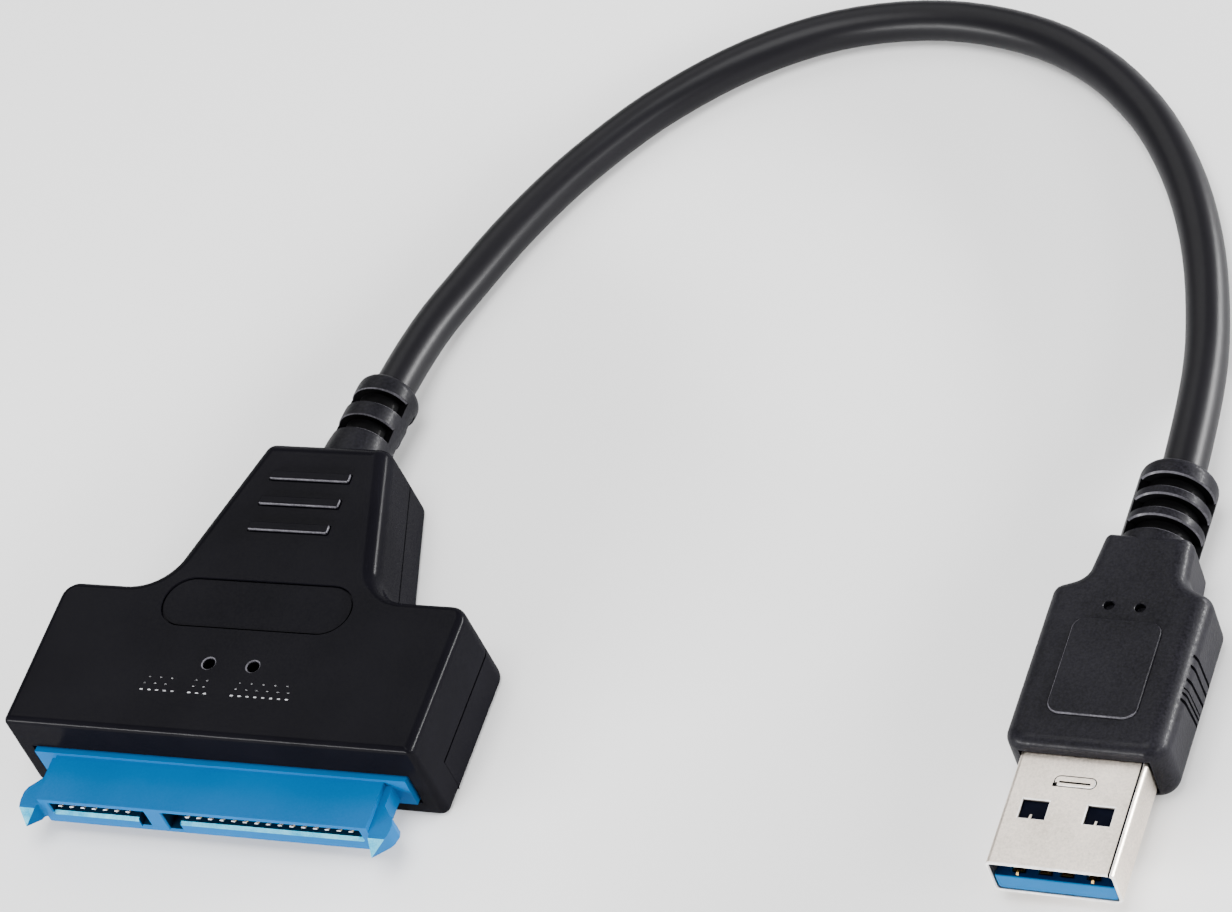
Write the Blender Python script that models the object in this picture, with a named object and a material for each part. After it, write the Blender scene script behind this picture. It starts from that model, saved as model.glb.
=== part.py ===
# Adapter from a computer's USB socket to one serial drive: a head with the 22 way drive
# connector, a short cable with a moulded sleeve at each end, and a USB plug.
# Sizes are in millimetres in the head's own frame: x across the connector, y from the
# connector face toward the cable, z up from the table. They are turned into metres and
# centred on the head when each body is made.
import math

import bmesh
import bpy
from mathutils import Matrix, Vector

MM = 0.001
GAP = 0.3
STEPS = 6

# drive connector
PITCH = 1.27
CONTACT_WIDTH = 0.45
CONTACT_THICK = 0.2
POWER_START = -1.9
SLOT_X = POWER_START + 14 * PITCH + 1.16
SIGNAL_START = 0.92 - SLOT_X
SIGNAL_KEY = SIGNAL_START + 6 * PITCH + 2.1
POWER_KEY = POWER_START - 2.5
SLOT_ROOF = 5.17
SLOT_LEDGE = 3.75
SLOT_BACK = 0.3
BODY_X = SLOT_X + 1.03
BODY_Z = (2.2, 5.8)
BODY_FRONT = -5.74
FLANGE_X = SLOT_X + 3.4
FLANGE_Z = (2.4, 6.15)
FLANGE_FRONT = -0.44
FLANGE_BACK = 4.0
ARM_TIP = (BODY_X + 0.89, -8.01, 4.29)
ARM_Z = (3.0, 5.23)

# head housing
CHEEK = 2.36
HEAD_WIDTH = 2 * (FLANGE_X + CHEEK)
HEAD_HEIGHT = 10.6
WIDE_DEPTH = 17.8
HEAD_DEPTH = 36.9
NECK_ROOT = 12.35
NECK_TIP = 7.15
WALL = 1.4
DRAFT = 0.3
SPLIT = 4.45
COLLAR = 3.05
FRONT_WALL = 2.9
ROLLS = [0.7, 1.0, 1.2, 2.1, 2.2, 2.1, 1.2, 1.0]
FOOT_ROLL = 1.0
BARS = [31.6, 28.4, 25.15]
BAR_WIDTH = 8.9
BAR_DEPTH = 1.0
BAR_RISE = 0.35
PANEL = (-10.5, 10.5, 12.6, 18.6)
PANEL_DEPTH = 0.25
LAMP_X = 2.45
LAMP_Y = 8.4

# board
BOARD_BOTTOM = 3.55
BOARD_TOP = 4.55
BOARD_FRONT = 4.3
LEDGE = BOARD_BOTTOM - GAP

# sleeve and cable
CABLE_RADIUS = 2.15
CABLE_HEIGHT = 4.4
BORE = CABLE_RADIUS + GAP
SLEEVE_STOP = 1.3
SLEEVE_STOP_HALF = (4.5, 2.6)
SLEEVE_START = HEAD_DEPTH - WALL - 2 * GAP - SLEEVE_STOP
SLEEVE_ROOT = 2.9
BOARD_BACK = SLEEVE_START - 5.1
SLEEVE_HOLE = SLEEVE_ROOT + GAP
SLEEVE_COLLAR = HEAD_DEPTH + GAP
SLEEVE_WIDE = 3.58
SLEEVE_RING = 3.3
SLEEVE_TIP = 3.36
SLEEVE_SLOT = 1.65
SLEEVE_SLOT_FLOOR = 2.0
SLEEVE_SLOT_TURN = 13.5
RIB_ANGLE = 14.5
SLEEVE_SLOT_STARTS = [SLEEVE_COLLAR + 3.6, SLEEVE_COLLAR + 7.2]
SLEEVE_END = SLEEVE_COLLAR + 10.9

# plug
PLUG_MOUTH = (84.97, -3.95, 3.85)
PLUG_TURN = math.radians(-1.53)
GRIP_WIDTH = 15.4
GRIP_HEIGHT = 7.7
GRIP_FRONT = 12.0
GRIP_NECK_END = 35.6
GRIP_ROLLS = [1.3, 1.9, 1.8, 1.6, 1.2, 1.6, 1.8, 1.9]
PLUG_END = 45.5
SHELL_WIDTH = 12.0
SHELL_HEIGHT = 4.5
SHEET = 0.3
SHELL_LENGTH = 18.3
WINDOW_X = 3.05
WINDOW_HALF = 1.25
WINDOW_V = (5.1, 7.1)
TONGUE_FRONT = 0.25
TONGUE_TOP = 0.0
TONGUE_STEP = 12.3
TONGUE_BACK = 17.9
BLADE_V = (0.95, 7.3)
BLADE_POCKET = 0.2
PLUG_SLOT_STARTS = [37.1, 39.6, 42.1]
PLUG_SLOT = 1.45
PLUG_SLOT_FLOOR = BORE + 0.4
PLUG_SLOT_REACH = 5.0
PLUG_SLOT_TURN = -25.5
CABLE_STOP = 30.0

# where the cable runs, its middle line
ROUTE = [(0.0, SLEEVE_START - 3.0, CABLE_HEIGHT), (0.0, SLEEVE_START - GAP, CABLE_HEIGHT),
         (0.0, SLEEVE_COLLAR + 0.2, CABLE_HEIGHT), (0.1, SLEEVE_COLLAR + 5.8, CABLE_HEIGHT - 0.2),
         (0.4, SLEEVE_COLLAR + 11.4, CABLE_HEIGHT - 0.7),
         (0.65, 54.0, 3.05), (1.35, 59.2, 2.55), (2.87, 64.55, 2.25), (4.98, 70.55, 2.2), (7.33, 75.85, 2.2),
         (10.05, 80.89, 2.2), (13.74, 86.36, 2.2), (17.21, 90.55, 2.2), (21.98, 95.01, 2.2),
         (26.64, 98.29, 2.2), (32.09, 100.99, 2.2), (37.71, 102.56, 2.2), (43.95, 103.17, 2.2),
         (49.93, 102.65, 2.2), (56.02, 101.03, 2.2), (61.18, 98.64, 2.2), (66.15, 95.16, 2.2),
         (70.66, 90.69, 2.2), (73.84, 86.57, 2.2), (77.12, 81.15, 2.2), (79.72, 75.6, 2.2),
         (81.74, 70.02, 2.2), (83.3, 64.3, 2.22), (84.65, 58.0, 2.5), (85.6, 51.0, 3.25)]

COLOURS = {
    "housing": ((0.014, 0.013, 0.017), 0.5, 0.0),
    "rubber": ((0.012, 0.012, 0.015), 0.6, 0.0),
    "blue": ((0.0, 0.19, 0.46), 0.4, 0.0),
    "gold": ((0.75, 0.55, 0.22), 0.3, 1.0),
    "nickel": ((0.66, 0.62, 0.57), 0.35, 1.0),
    "board": ((0.01, 0.11, 0.05), 0.5, 0.0),
    "chip": ((0.02, 0.02, 0.022), 0.55, 0.0),
    "tin": ((0.6, 0.6, 0.62), 0.4, 1.0),
    "capacitor": ((0.42, 0.28, 0.16), 0.5, 0.0),
    "lamp": ((0.7, 0.72, 0.68), 0.3, 0.0),
    "mould": ((0.55, 0.54, 0.5), 0.6, 0.0),
    "red": ((0.5, 0.02, 0.02), 0.5, 0.0),
    "black": ((0.012, 0.012, 0.012), 0.5, 0.0),
    "white": ((0.7, 0.7, 0.68), 0.5, 0.0),
    "green": ((0.02, 0.25, 0.05), 0.5, 0.0),
    "yellow": ((0.7, 0.5, 0.03), 0.5, 0.0),
}


def clear_scene():
    for item in list(bpy.data.objects):
        bpy.data.objects.remove(item, do_unlink=True)


def make_material(name, kind):
    colour, roughness, metallic = COLOURS[kind]
    made = bpy.data.materials.new(name + "_material")
    made.use_nodes = True
    shader = made.node_tree.nodes["Principled BSDF"]
    shader.inputs["Base Color"].default_value = (*colour, 1.0)
    shader.inputs["Roughness"].default_value = roughness
    shader.inputs["Metallic"].default_value = metallic
    return made


def smooth_path(points, per_span=24):
    # a smooth curve through the points, as many small steps
    made = []
    ends = [points[0]] + list(points) + [points[-1]]
    ends = [Vector(p) for p in ends]
    for i in range(1, len(ends) - 2):
        a, b, c, d = ends[i - 1:i + 3]
        for k in range(per_span):
            t = k / per_span
            made.append(0.5 * ((2 * b) + (c - a) * t + (2 * a - 5 * b + 4 * c - d) * t * t
                               + (3 * b - a - 3 * c + d) * t ** 3))
    made.append(ends[-1])
    return made


def even_path(points, spacing):
    # the same curve as evenly spaced points
    runs = [0.0]
    for before, after in zip(points, points[1:]):
        runs.append(runs[-1] + (after - before).length)
    count = max(2, round(runs[-1] / spacing))
    made = []
    at = 0
    for k in range(count + 1):
        want = runs[-1] * k / count
        while at < len(runs) - 2 and runs[at + 1] < want:
            at += 1
        share = (want - runs[at]) / max(1e-9, runs[at + 1] - runs[at])
        made.append(points[at].lerp(points[at + 1], min(1.0, share)))
    return made


def point_at_y(points, y):
    # where the head end of the route passes a given y, and its direction there
    for before, after in zip(points, points[1:]):
        if before.y <= y <= after.y:
            share = (y - before.y) / max(1e-9, after.y - before.y)
            return before.lerp(after, share), (after - before).normalized()
    return points[-1], (points[-1] - points[-2]).normalized()


def rounded_outline(corners, insets, steps=STEPS, smallest=0.12):
    # a closed outline, anticlockwise, with round corners, each side moved in by its own
    # inset; every point also tells how far round its corner it is
    count = len(corners)
    lines = []
    for i in range(count):
        start = Vector(corners[i][:2])
        along = (Vector(corners[(i + 1) % count][:2]) - start).normalized()
        inward = Vector((-along.y, along.x))
        lines.append((start + inward * insets[i], along))
    made = []
    for i in range(count):
        (before, along), (after, leave) = lines[i - 1], lines[i]
        cross = along.x * leave.y - along.y * leave.x
        gap = after - before
        reach = (gap.x * leave.y - gap.y * leave.x) / cross
        meet = before + along * reach
        turn = math.atan2(cross, along.dot(leave))
        side = 1.0 if turn > 0 else -1.0
        mean = (insets[i - 1] + insets[i]) / 2
        radius = max(smallest, corners[i][2] - side * mean)
        back = radius * math.tan(abs(turn) / 2)
        start = meet - along * back
        centre = start + Vector((-along.y, along.x)) * radius * side
        arm = start - centre
        for k in range(steps + 1):
            angle = turn * k / steps
            spin = Vector((arm.x * math.cos(angle) - arm.y * math.sin(angle),
                           arm.x * math.sin(angle) + arm.y * math.cos(angle)))
            made.append((centre.x + spin.x, centre.y + spin.y, i, k / steps))
    return made


def blend_rolls(rolls, point):
    corner, share = point[2], point[3]
    return rolls[corner - 1] * (1 - share) + rolls[corner] * share


def roll_ring(corners, rolls, angle, top, toward, extra):
    # one ring of the rounding between a wall and a flat face at height top
    turn = math.radians(angle)
    insets = [r * (1 - math.cos(turn)) + e for r, e in zip(rolls, extra)]
    ring = []
    for point in rounded_outline(corners, insets):
        height = blend_rolls(rolls, point) * (1 - math.sin(turn))
        ring.append((point[0], point[1], top - toward * height))
    return ring


def flat_ring(corners, insets, z):
    return [(p[0], p[1], z) for p in rounded_outline(corners, insets)]


def loft(rings, closed=False):
    count = len(rings[0])
    points = [p for ring in rings for p in ring]
    faces = []
    spans = len(rings) if closed else len(rings) - 1
    for k in range(spans):
        here = k * count
        there = ((k + 1) % len(rings)) * count
        for i in range(count):
            j = (i + 1) % count
            faces.append((here + i, here + j, there + j, there + i))
    if not closed:
        faces.append(tuple(range(count)))
        faces.append(tuple(range((len(rings) - 1) * count, len(rings) * count)))
    return points, faces


def box(x0, x1, y0, y1, z0, z1):
    low = [(x0, y0, z0), (x1, y0, z0), (x1, y1, z0), (x0, y1, z0)]
    high = [(x, y, z1) for x, y, z in low]
    return loft([low, high])


def boxes(blocks):
    points = []
    faces = []
    for block in blocks:
        start = len(points)
        more, sides = box(*block)
        points += more
        faces += [tuple(start + i for i in side) for side in sides]
    return points, faces


def prism(outline, y0, y1):
    # an outline in x and z drawn out along y
    return loft([[(x, y0, z) for x, z in outline], [(x, y1, z) for x, z in outline]])


def round_ring(centre, along, radius, count=32, shape=None):
    side = Vector((0, 0, 1)).cross(along).normalized() * -1
    up = side.cross(along).normalized()
    if up.z < 0:
        up = -up
    ring = []
    for k in range(count):
        turn = 2 * math.pi * k / count
        reach = radius
        if shape:
            wide, tall = shape
            reach = min(wide / max(1e-6, abs(math.cos(turn))), tall / max(1e-6, abs(math.sin(turn))))
        point = Vector(centre) + side * reach * math.cos(turn) + up * reach * math.sin(turn)
        ring.append(tuple(point))
    return ring


def ribbon(line, width, thick, middle):
    # a strip of sheet bent along a line of y and z, width across x
    spots = [Vector(p) for p in line]
    high = []
    low = []
    for i, spot in enumerate(spots):
        before = (spot - spots[i - 1]).normalized() if i else None
        after = (spots[i + 1] - spot).normalized() if i + 1 < len(spots) else None
        run = ((before or after) + (after or before)).normalized()
        normal = Vector((-run.y, run.x))
        stretch = 1 / max(0.6, run.dot(after or before))
        high.append(spot + normal * thick / 2 * stretch)
        low.append(spot - normal * thick / 2 * stretch)
    outline = high + low[::-1]
    left = [(middle - width / 2, p.x, p.y) for p in outline]
    right = [(middle + width / 2, p.x, p.y) for p in outline]
    return loft([left, right])


def join(target, tool):
    combine(target, tool, "UNION")


def cut(target, tool):
    combine(target, tool, "DIFFERENCE")


def combine(target, tool, operation):
    change = target.modifiers.new(operation.lower() + "_" + tool.name, "BOOLEAN")
    change.operation = operation
    change.solver = "EXACT"
    change.object = tool
    tool.hide_render = True
    tool.hide_set(True)
    tool.display_type = "WIRE"


SLEEVE_CURVE = smooth_path(ROUTE)


def sleeve_rings():
    # the head's moulded sleeve follows the cable: outside rings outward, bore rings back
    stop = SLEEVE_START + SLEEVE_STOP
    last = SLEEVE_SLOT_STARTS[1] + SLEEVE_SLOT
    outside = [(SLEEVE_START, 0, SLEEVE_STOP_HALF), (stop, 0, SLEEVE_STOP_HALF), (stop, SLEEVE_ROOT, None),
               (SLEEVE_COLLAR, SLEEVE_ROOT, None), (SLEEVE_COLLAR, SLEEVE_WIDE, None),
               (SLEEVE_COLLAR + 1.2, SLEEVE_WIDE - 0.08, None), (SLEEVE_SLOT_STARTS[0] - 0.1, SLEEVE_RING, None),
               (last, SLEEVE_RING, None), (last + 0.1, SLEEVE_TIP, None), (SLEEVE_END - 0.6, SLEEVE_TIP, None),
               (SLEEVE_END - 0.15, SLEEVE_TIP - 0.17, None), (SLEEVE_END, SLEEVE_TIP - 0.47, None)]
    rings = []
    for y, radius, shape in outside:
        centre, along = point_at_y(SLEEVE_CURVE, y)
        rings.append(round_ring(centre, along, radius, 32, shape))
    for y in (SLEEVE_END, SLEEVE_COLLAR + 6.8, SLEEVE_COLLAR + 2.3, SLEEVE_START):
        centre, along = point_at_y(SLEEVE_CURVE, y)
        rings.append(round_ring(centre, along, BORE))
    return rings


SLEEVE_RINGS = sleeve_rings()
MIDDLE_Y = (max(p[1] for ring in SLEEVE_RINGS for p in ring) + ARM_TIP[1]) / 2


def place(point, frame):
    spot = Vector(point)
    if frame:
        spot = frame @ spot
    return Vector((spot.x, spot.y - MIDDLE_Y, spot.z)) * MM


def add_body(name, shape, kind=None, frame=None, smooth=False):
    points, faces = shape
    mesh = bpy.data.meshes.new(name)
    mesh.from_pydata([place(p, frame) for p in points], [], faces)
    work = bmesh.new()
    work.from_mesh(mesh)
    bmesh.ops.recalc_face_normals(work, faces=work.faces)
    work.to_mesh(mesh)
    work.free()
    if smooth:
        mesh.polygons.foreach_set("use_smooth", [True] * len(mesh.polygons))
        mesh.set_sharp_from_angle(angle=math.radians(34))
    made = bpy.data.objects.new(name, mesh)
    bpy.context.scene.collection.objects.link(made)
    if kind:
        mesh.materials.append(make_material(name, kind))
    return made


def add_tube(name, points, radius, kind, detail=2):
    line = bpy.data.curves.new(name, "CURVE")
    line.dimensions = "3D"
    line.bevel_depth = radius * MM
    line.bevel_resolution = detail
    line.use_fill_caps = True
    run = line.splines.new("POLY")
    run.points.add(len(points) - 1)
    for spot, point in zip(run.points, points):
        spot.co = (*place(point, None), 1.0)
    made = bpy.data.objects.new(name, line)
    bpy.context.scene.collection.objects.link(made)
    line.materials.append(make_material(name, kind))
    return made


def head_corners(front, depth=HEAD_DEPTH, tip=NECK_TIP, corner=0.8):
    half = HEAD_WIDTH / 2
    return [(-half, front, corner), (half, front, corner), (half, WIDE_DEPTH, 2.8),
            (NECK_ROOT, WIDE_DEPTH, 4.5), (tip, depth, 1.8), (-tip, depth, 1.8),
            (-NECK_ROOT, WIDE_DEPTH, 4.5), (-half, WIDE_DEPTH, 2.8)]


def lean(z):
    # how far the walls have moved in at a height, the front one stays upright
    amount = DRAFT * z / HEAD_HEIGHT
    return [0.0] + [amount] * 7


def more(insets, amount, front=None):
    made = [i + amount for i in insets]
    if front is not None:
        made[0] = front
    return made


def make_head():
    corners = head_corners(0.0)
    rings = [roll_ring(corners, ROLLS, angle, HEAD_HEIGHT, 1, lean(HEAD_HEIGHT)) for angle in (90, 67, 45, 22, 0)]
    rings.append(flat_ring(corners, lean(0.8), 0.8))
    rings.append(flat_ring(corners, [0.24] * 8, 0.24))
    rings.append(flat_ring(corners, [0.8] * 8, 0.0))
    rings.append(flat_ring(corners, more(lean(0), WALL, FRONT_WALL), 0.0))
    roof = HEAD_HEIGHT - WALL
    rings.append(flat_ring(corners, more(lean(roof - 1), WALL, FRONT_WALL), roof - 1))
    rings.append(flat_ring(corners, more(lean(roof), WALL + 1.0, FRONT_WALL), roof))
    top = add_body("top_shell", loft(rings), "housing", smooth=True)
    beyond = HEAD_WIDTH / 2 + WALL
    split = box(-beyond, beyond, COLLAR, HEAD_DEPTH + WALL, -WALL, SPLIT + GAP / 2)
    cut(top, add_body("top_split_cutter", split))
    opening = box(-FLANGE_X - GAP, FLANGE_X + GAP, -2, COLLAR + 1, FLANGE_Z[0] - GAP, FLANGE_Z[1] + GAP)
    cut(top, add_body("opening_cutter", opening))
    back = [(0, HEAD_DEPTH - 3 * WALL, CABLE_HEIGHT), (0, HEAD_DEPTH + WALL, CABLE_HEIGHT)]
    hole = loft([round_ring(p, Vector((0, 1, 0)), SLEEVE_HOLE) for p in back])
    sleeve_hole = add_body("sleeve_hole_cutter", hole)
    cut(top, sleeve_hole)
    marks = [(-BAR_WIDTH / 2, BAR_WIDTH / 2, y - BAR_DEPTH / 2, y + BAR_DEPTH / 2, HEAD_HEIGHT - 0.4,
              HEAD_HEIGHT + BAR_RISE) for y in BARS]
    join(top, add_body("grip_bars", boxes(marks)))
    x0, x1, y0, y1 = PANEL
    frame = [(x0, y0, 2.9), (x1, y0, 2.9), (x1, y1, 2.9), (x0, y1, 2.9)]
    hollow = [flat_ring(frame, [0] * 4, HEAD_HEIGHT - PANEL_DEPTH), flat_ring(frame, [0] * 4, 12)]
    cut(top, add_body("panel_cutter", loft(hollow)))
    for name, side in (("left", -1), ("right", 1)):
        spots = [(side * LAMP_X, LAMP_Y, z) for z in (HEAD_HEIGHT - 3, HEAD_HEIGHT + 1)]
        ring = [[(p[0] + 0.75 * math.cos(k * math.pi / 8), p[1] + 0.75 * math.sin(k * math.pi / 8), p[2])
                 for k in range(16)] for p in spots]
        cut(top, add_body(name + "_lamp_cutter", loft(ring)))

    low = head_corners(COLLAR + GAP, corner=0.3)
    feet = [FOOT_ROLL] * 8
    feet[0] = 0.3
    rings = [roll_ring(low, feet, angle, 0.0, -1, [0.0] * 8) for angle in (90, 60, 30, 0)]
    rings.append(flat_ring(low, lean(SPLIT), SPLIT - GAP / 2))
    rings.append(flat_ring(low, more(lean(SPLIT), WALL), SPLIT - GAP / 2))
    rings.append(flat_ring(low, more(lean(LEDGE), WALL), LEDGE))
    shelf = more(lean(LEDGE), WALL + 1.2)
    shelf[4] = WALL + 0.05
    rings.append(flat_ring(low, shelf, LEDGE - 0.001))
    rings.append(flat_ring(low, shelf, WALL))
    bottom = add_body("bottom_shell", loft(rings), "housing", smooth=True)
    lip = HEAD_WIDTH / 2 - WALL - 0.05
    cut(bottom, add_body("front_lip_cutter", box(-lip, lip, COLLAR - 1, COLLAR + GAP + WALL + 0.6, WALL + 0.6, 8)))
    cut(bottom, sleeve_hole)


def make_connector():
    block = box(-FLANGE_X, FLANGE_X, FLANGE_FRONT, FLANGE_BACK, *FLANGE_Z)
    body = add_body("sata_connector", block, "blue")
    join(body, add_body("connector_body", box(-BODY_X, BODY_X, BODY_FRONT, 1.0, *BODY_Z)))
    low, high = ARM_Z
    for name, side in (("left_arm", -1), ("right_arm", 1)):
        stations = [(0.2, -0.47, 0.73, low, 0.73), (-2.7, -0.47, 0.73, low, 0.73), (-4.0, -0.47, 1.98, low, 2.03),
                    (-4.6, -0.47, 2.23, low, 2.21), (-5.45, -0.47, 2.2, low, 1.98),
                    (-5.95, 0.18, 2.13, low + 0.1, 1.73), (-6.38, 0.23, 2.01, low + 0.25, 1.43)]
        points = []
        for y, inner, outer, floor, foot in stations:
            points += [(side * (BODY_X + inner), y, floor), (side * (BODY_X + foot), y, floor),
                       (side * (BODY_X + outer), y, high), (side * (BODY_X + inner), y, high)]
        faces = [(0, 1, 2, 3)]
        for k in range(len(stations) - 1):
            for i in range(4):
                j = (i + 1) % 4
                faces.append((4 * k + i, 4 * k + j, 4 * k + 4 + j, 4 * k + 4 + i))
        last = 4 * (len(stations) - 1)
        points.append((side * ARM_TIP[0], ARM_TIP[1], ARM_TIP[2]))
        faces += [(last + i, last + (i + 1) % 4, last + 4) for i in range(4)]
        join(body, add_body(name, (points, faces)))
    turn = SIGNAL_KEY - 1.1
    signal = [(-SLOT_X, SLOT_LEDGE), (turn, SLOT_LEDGE), (turn, 2.8), (SIGNAL_KEY, 2.8), (SIGNAL_KEY, SLOT_ROOF),
              (-SLOT_X, SLOT_ROOF)]
    turn = POWER_KEY + 1.5
    power = [(POWER_KEY, 2.6), (turn, 2.6), (turn, SLOT_LEDGE), (SLOT_X, SLOT_LEDGE), (SLOT_X, SLOT_ROOF),
             (POWER_KEY, SLOT_ROOF)]
    cut(body, add_body("signal_slot", prism(signal, BODY_FRONT - 3, SLOT_BACK)))
    cut(body, add_body("power_slot", prism(power, BODY_FRONT - 3, SLOT_BACK)))
    signals = [("signal_contact_%d" % (k + 1), SIGNAL_START + PITCH * k) for k in range(7)]
    powers = [("power_contact_%d" % (k + 1), POWER_START + PITCH * k) for k in range(15)]
    half = CONTACT_WIDTH / 2 + 0.25
    channels = [(x - half, x + half, -5.2, FLANGE_BACK + 2, 4.6, 5.4) for name, x in signals + powers]
    cut(body, add_body("channel_cutter", boxes(channels)))
    line = [(6.0, 5.0), (0.8, 5.0), (-1.2, 4.95), (-3.7, 4.4), (-4.9, 4.85)]
    for name, x in signals + powers:
        add_body(name, ribbon(line, CONTACT_WIDTH, CONTACT_THICK, x), "gold")


def make_board():
    slope = (NECK_ROOT - NECK_TIP) / (HEAD_DEPTH - WIDE_DEPTH)
    tip = NECK_ROOT - (BOARD_BACK - WIDE_DEPTH) * slope
    corners = head_corners(BOARD_FRONT, BOARD_BACK, tip)
    insets = [0.0] + [WALL + DRAFT / 2 + GAP] * 7
    insets[4] = 0.0
    rings = [flat_ring(corners, insets, z) for z in (BOARD_BOTTOM, BOARD_TOP)]
    add_body("circuit_board", loft(rings), "board")
    base = BOARD_TOP + GAP
    edge = HEAD_WIDTH / 2
    pieces = {
        "bridge_chip": (0.0, 14.6, 7.0, 7.0, 1.0, "chip"),
        "crystal": (-8.2, 13.0, 3.2, 5.0, 1.2, "tin"),
        "voltage_regulator": (edge - 13.2, 11.5, 3.5, 6.5, 1.6, "chip"),
        "inductor": (edge - 7.6, 11.5, 4.0, 4.0, 2.0, "black"),
        "capacitor_1": (-5.6, 20.4, 1.25, 2.0, 0.9, "capacitor"),
        "capacitor_2": (5.6, 20.4, 1.25, 2.0, 0.9, "capacitor"),
        "capacitor_3": (9.2 - edge, 12.0, 1.25, 2.0, 0.9, "capacitor"),
        "capacitor_4": (6.4 - edge, 12.0, 1.25, 2.0, 0.9, "capacitor"),
        "power_led": (-LAMP_X, LAMP_Y, 1.6, 0.8, 0.7, "lamp"),
        "activity_led": (LAMP_X, LAMP_Y, 1.6, 0.8, 0.7, "lamp"),
    }
    for name, (x, y, wide, deep, tall, kind) in pieces.items():
        add_body(name, box(x - wide / 2, x + wide / 2, y - deep / 2, y + deep / 2, base, base + tall), kind)


def slot_round(start, end, inner, outer, rib, turn, centre):
    # half a ring from y start to y end, it stops rib degrees short of a whole half at each side
    steps = 10
    angles = [math.radians(turn + rib + (180 - 2 * rib) * k / steps) for k in range(steps + 1)]
    outline = [(centre[0] + outer * math.cos(a), centre[2] + outer * math.sin(a)) for a in angles]
    outline += [(centre[0] + inner * math.cos(a), centre[2] + inner * math.sin(a)) for a in reversed(angles)]
    return prism(outline, start, end)


def make_sleeve():
    sleeve = add_body("head_strain_relief", loft(SLEEVE_RINGS, closed=True), "rubber", smooth=True)
    for k, start in enumerate(SLEEVE_SLOT_STARTS):
        end = start + SLEEVE_SLOT
        centre, along = point_at_y(SLEEVE_CURVE, (start + end) / 2)
        for name, turn in (("upper", SLEEVE_SLOT_TURN), ("lower", SLEEVE_SLOT_TURN + 180)):
            slot = slot_round(start, end, SLEEVE_SLOT_FLOOR, SLEEVE_WIDE + 1, RIB_ANGLE, turn, centre)
            cut(sleeve, add_body("%s_sleeve_slot_cutter_%d" % (name, k + 1), slot))


def make_wires():
    base = BOARD_TOP + GAP + 0.45
    wires = [("power_wire", -1.3, 0.65, -4.0, "red"), ("data_wire_minus", 0.0, 0.65, 0.0, "white"),
             ("ground_wire", 1.3, 0.65, 4.0, "black"), ("data_wire_plus", -0.65, -0.65, -2.0, "green"),
             ("shield_wire", 0.65, -0.65, 2.0, "yellow")]
    for name, x, rise, pad, kind in wires:
        start = SLEEVE_START - 2 * GAP
        high = CABLE_HEIGHT + rise
        points = [(x, start, high), (x, start - 0.6, high), (x * 0.7 + pad * 0.3, start - 2.4, (high + base) / 2 + 0.2),
                  (pad, BOARD_BACK + 0.4, base + 0.1), (pad, BOARD_BACK - 1.1, base), (pad, BOARD_BACK - 2.3, base)]
        add_tube(name, points, 0.4, kind, 1)


def make_cable(plug):
    straight = [plug @ Vector((0, v, 0)) for v in (PLUG_END, 41.0, 35.5, CABLE_STOP)]
    points = smooth_path(ROUTE[1:] + [tuple(p) for p in straight])
    points = even_path(points, 7.6)
    add_tube("cable", points, CABLE_RADIUS, "rubber", 3)


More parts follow.
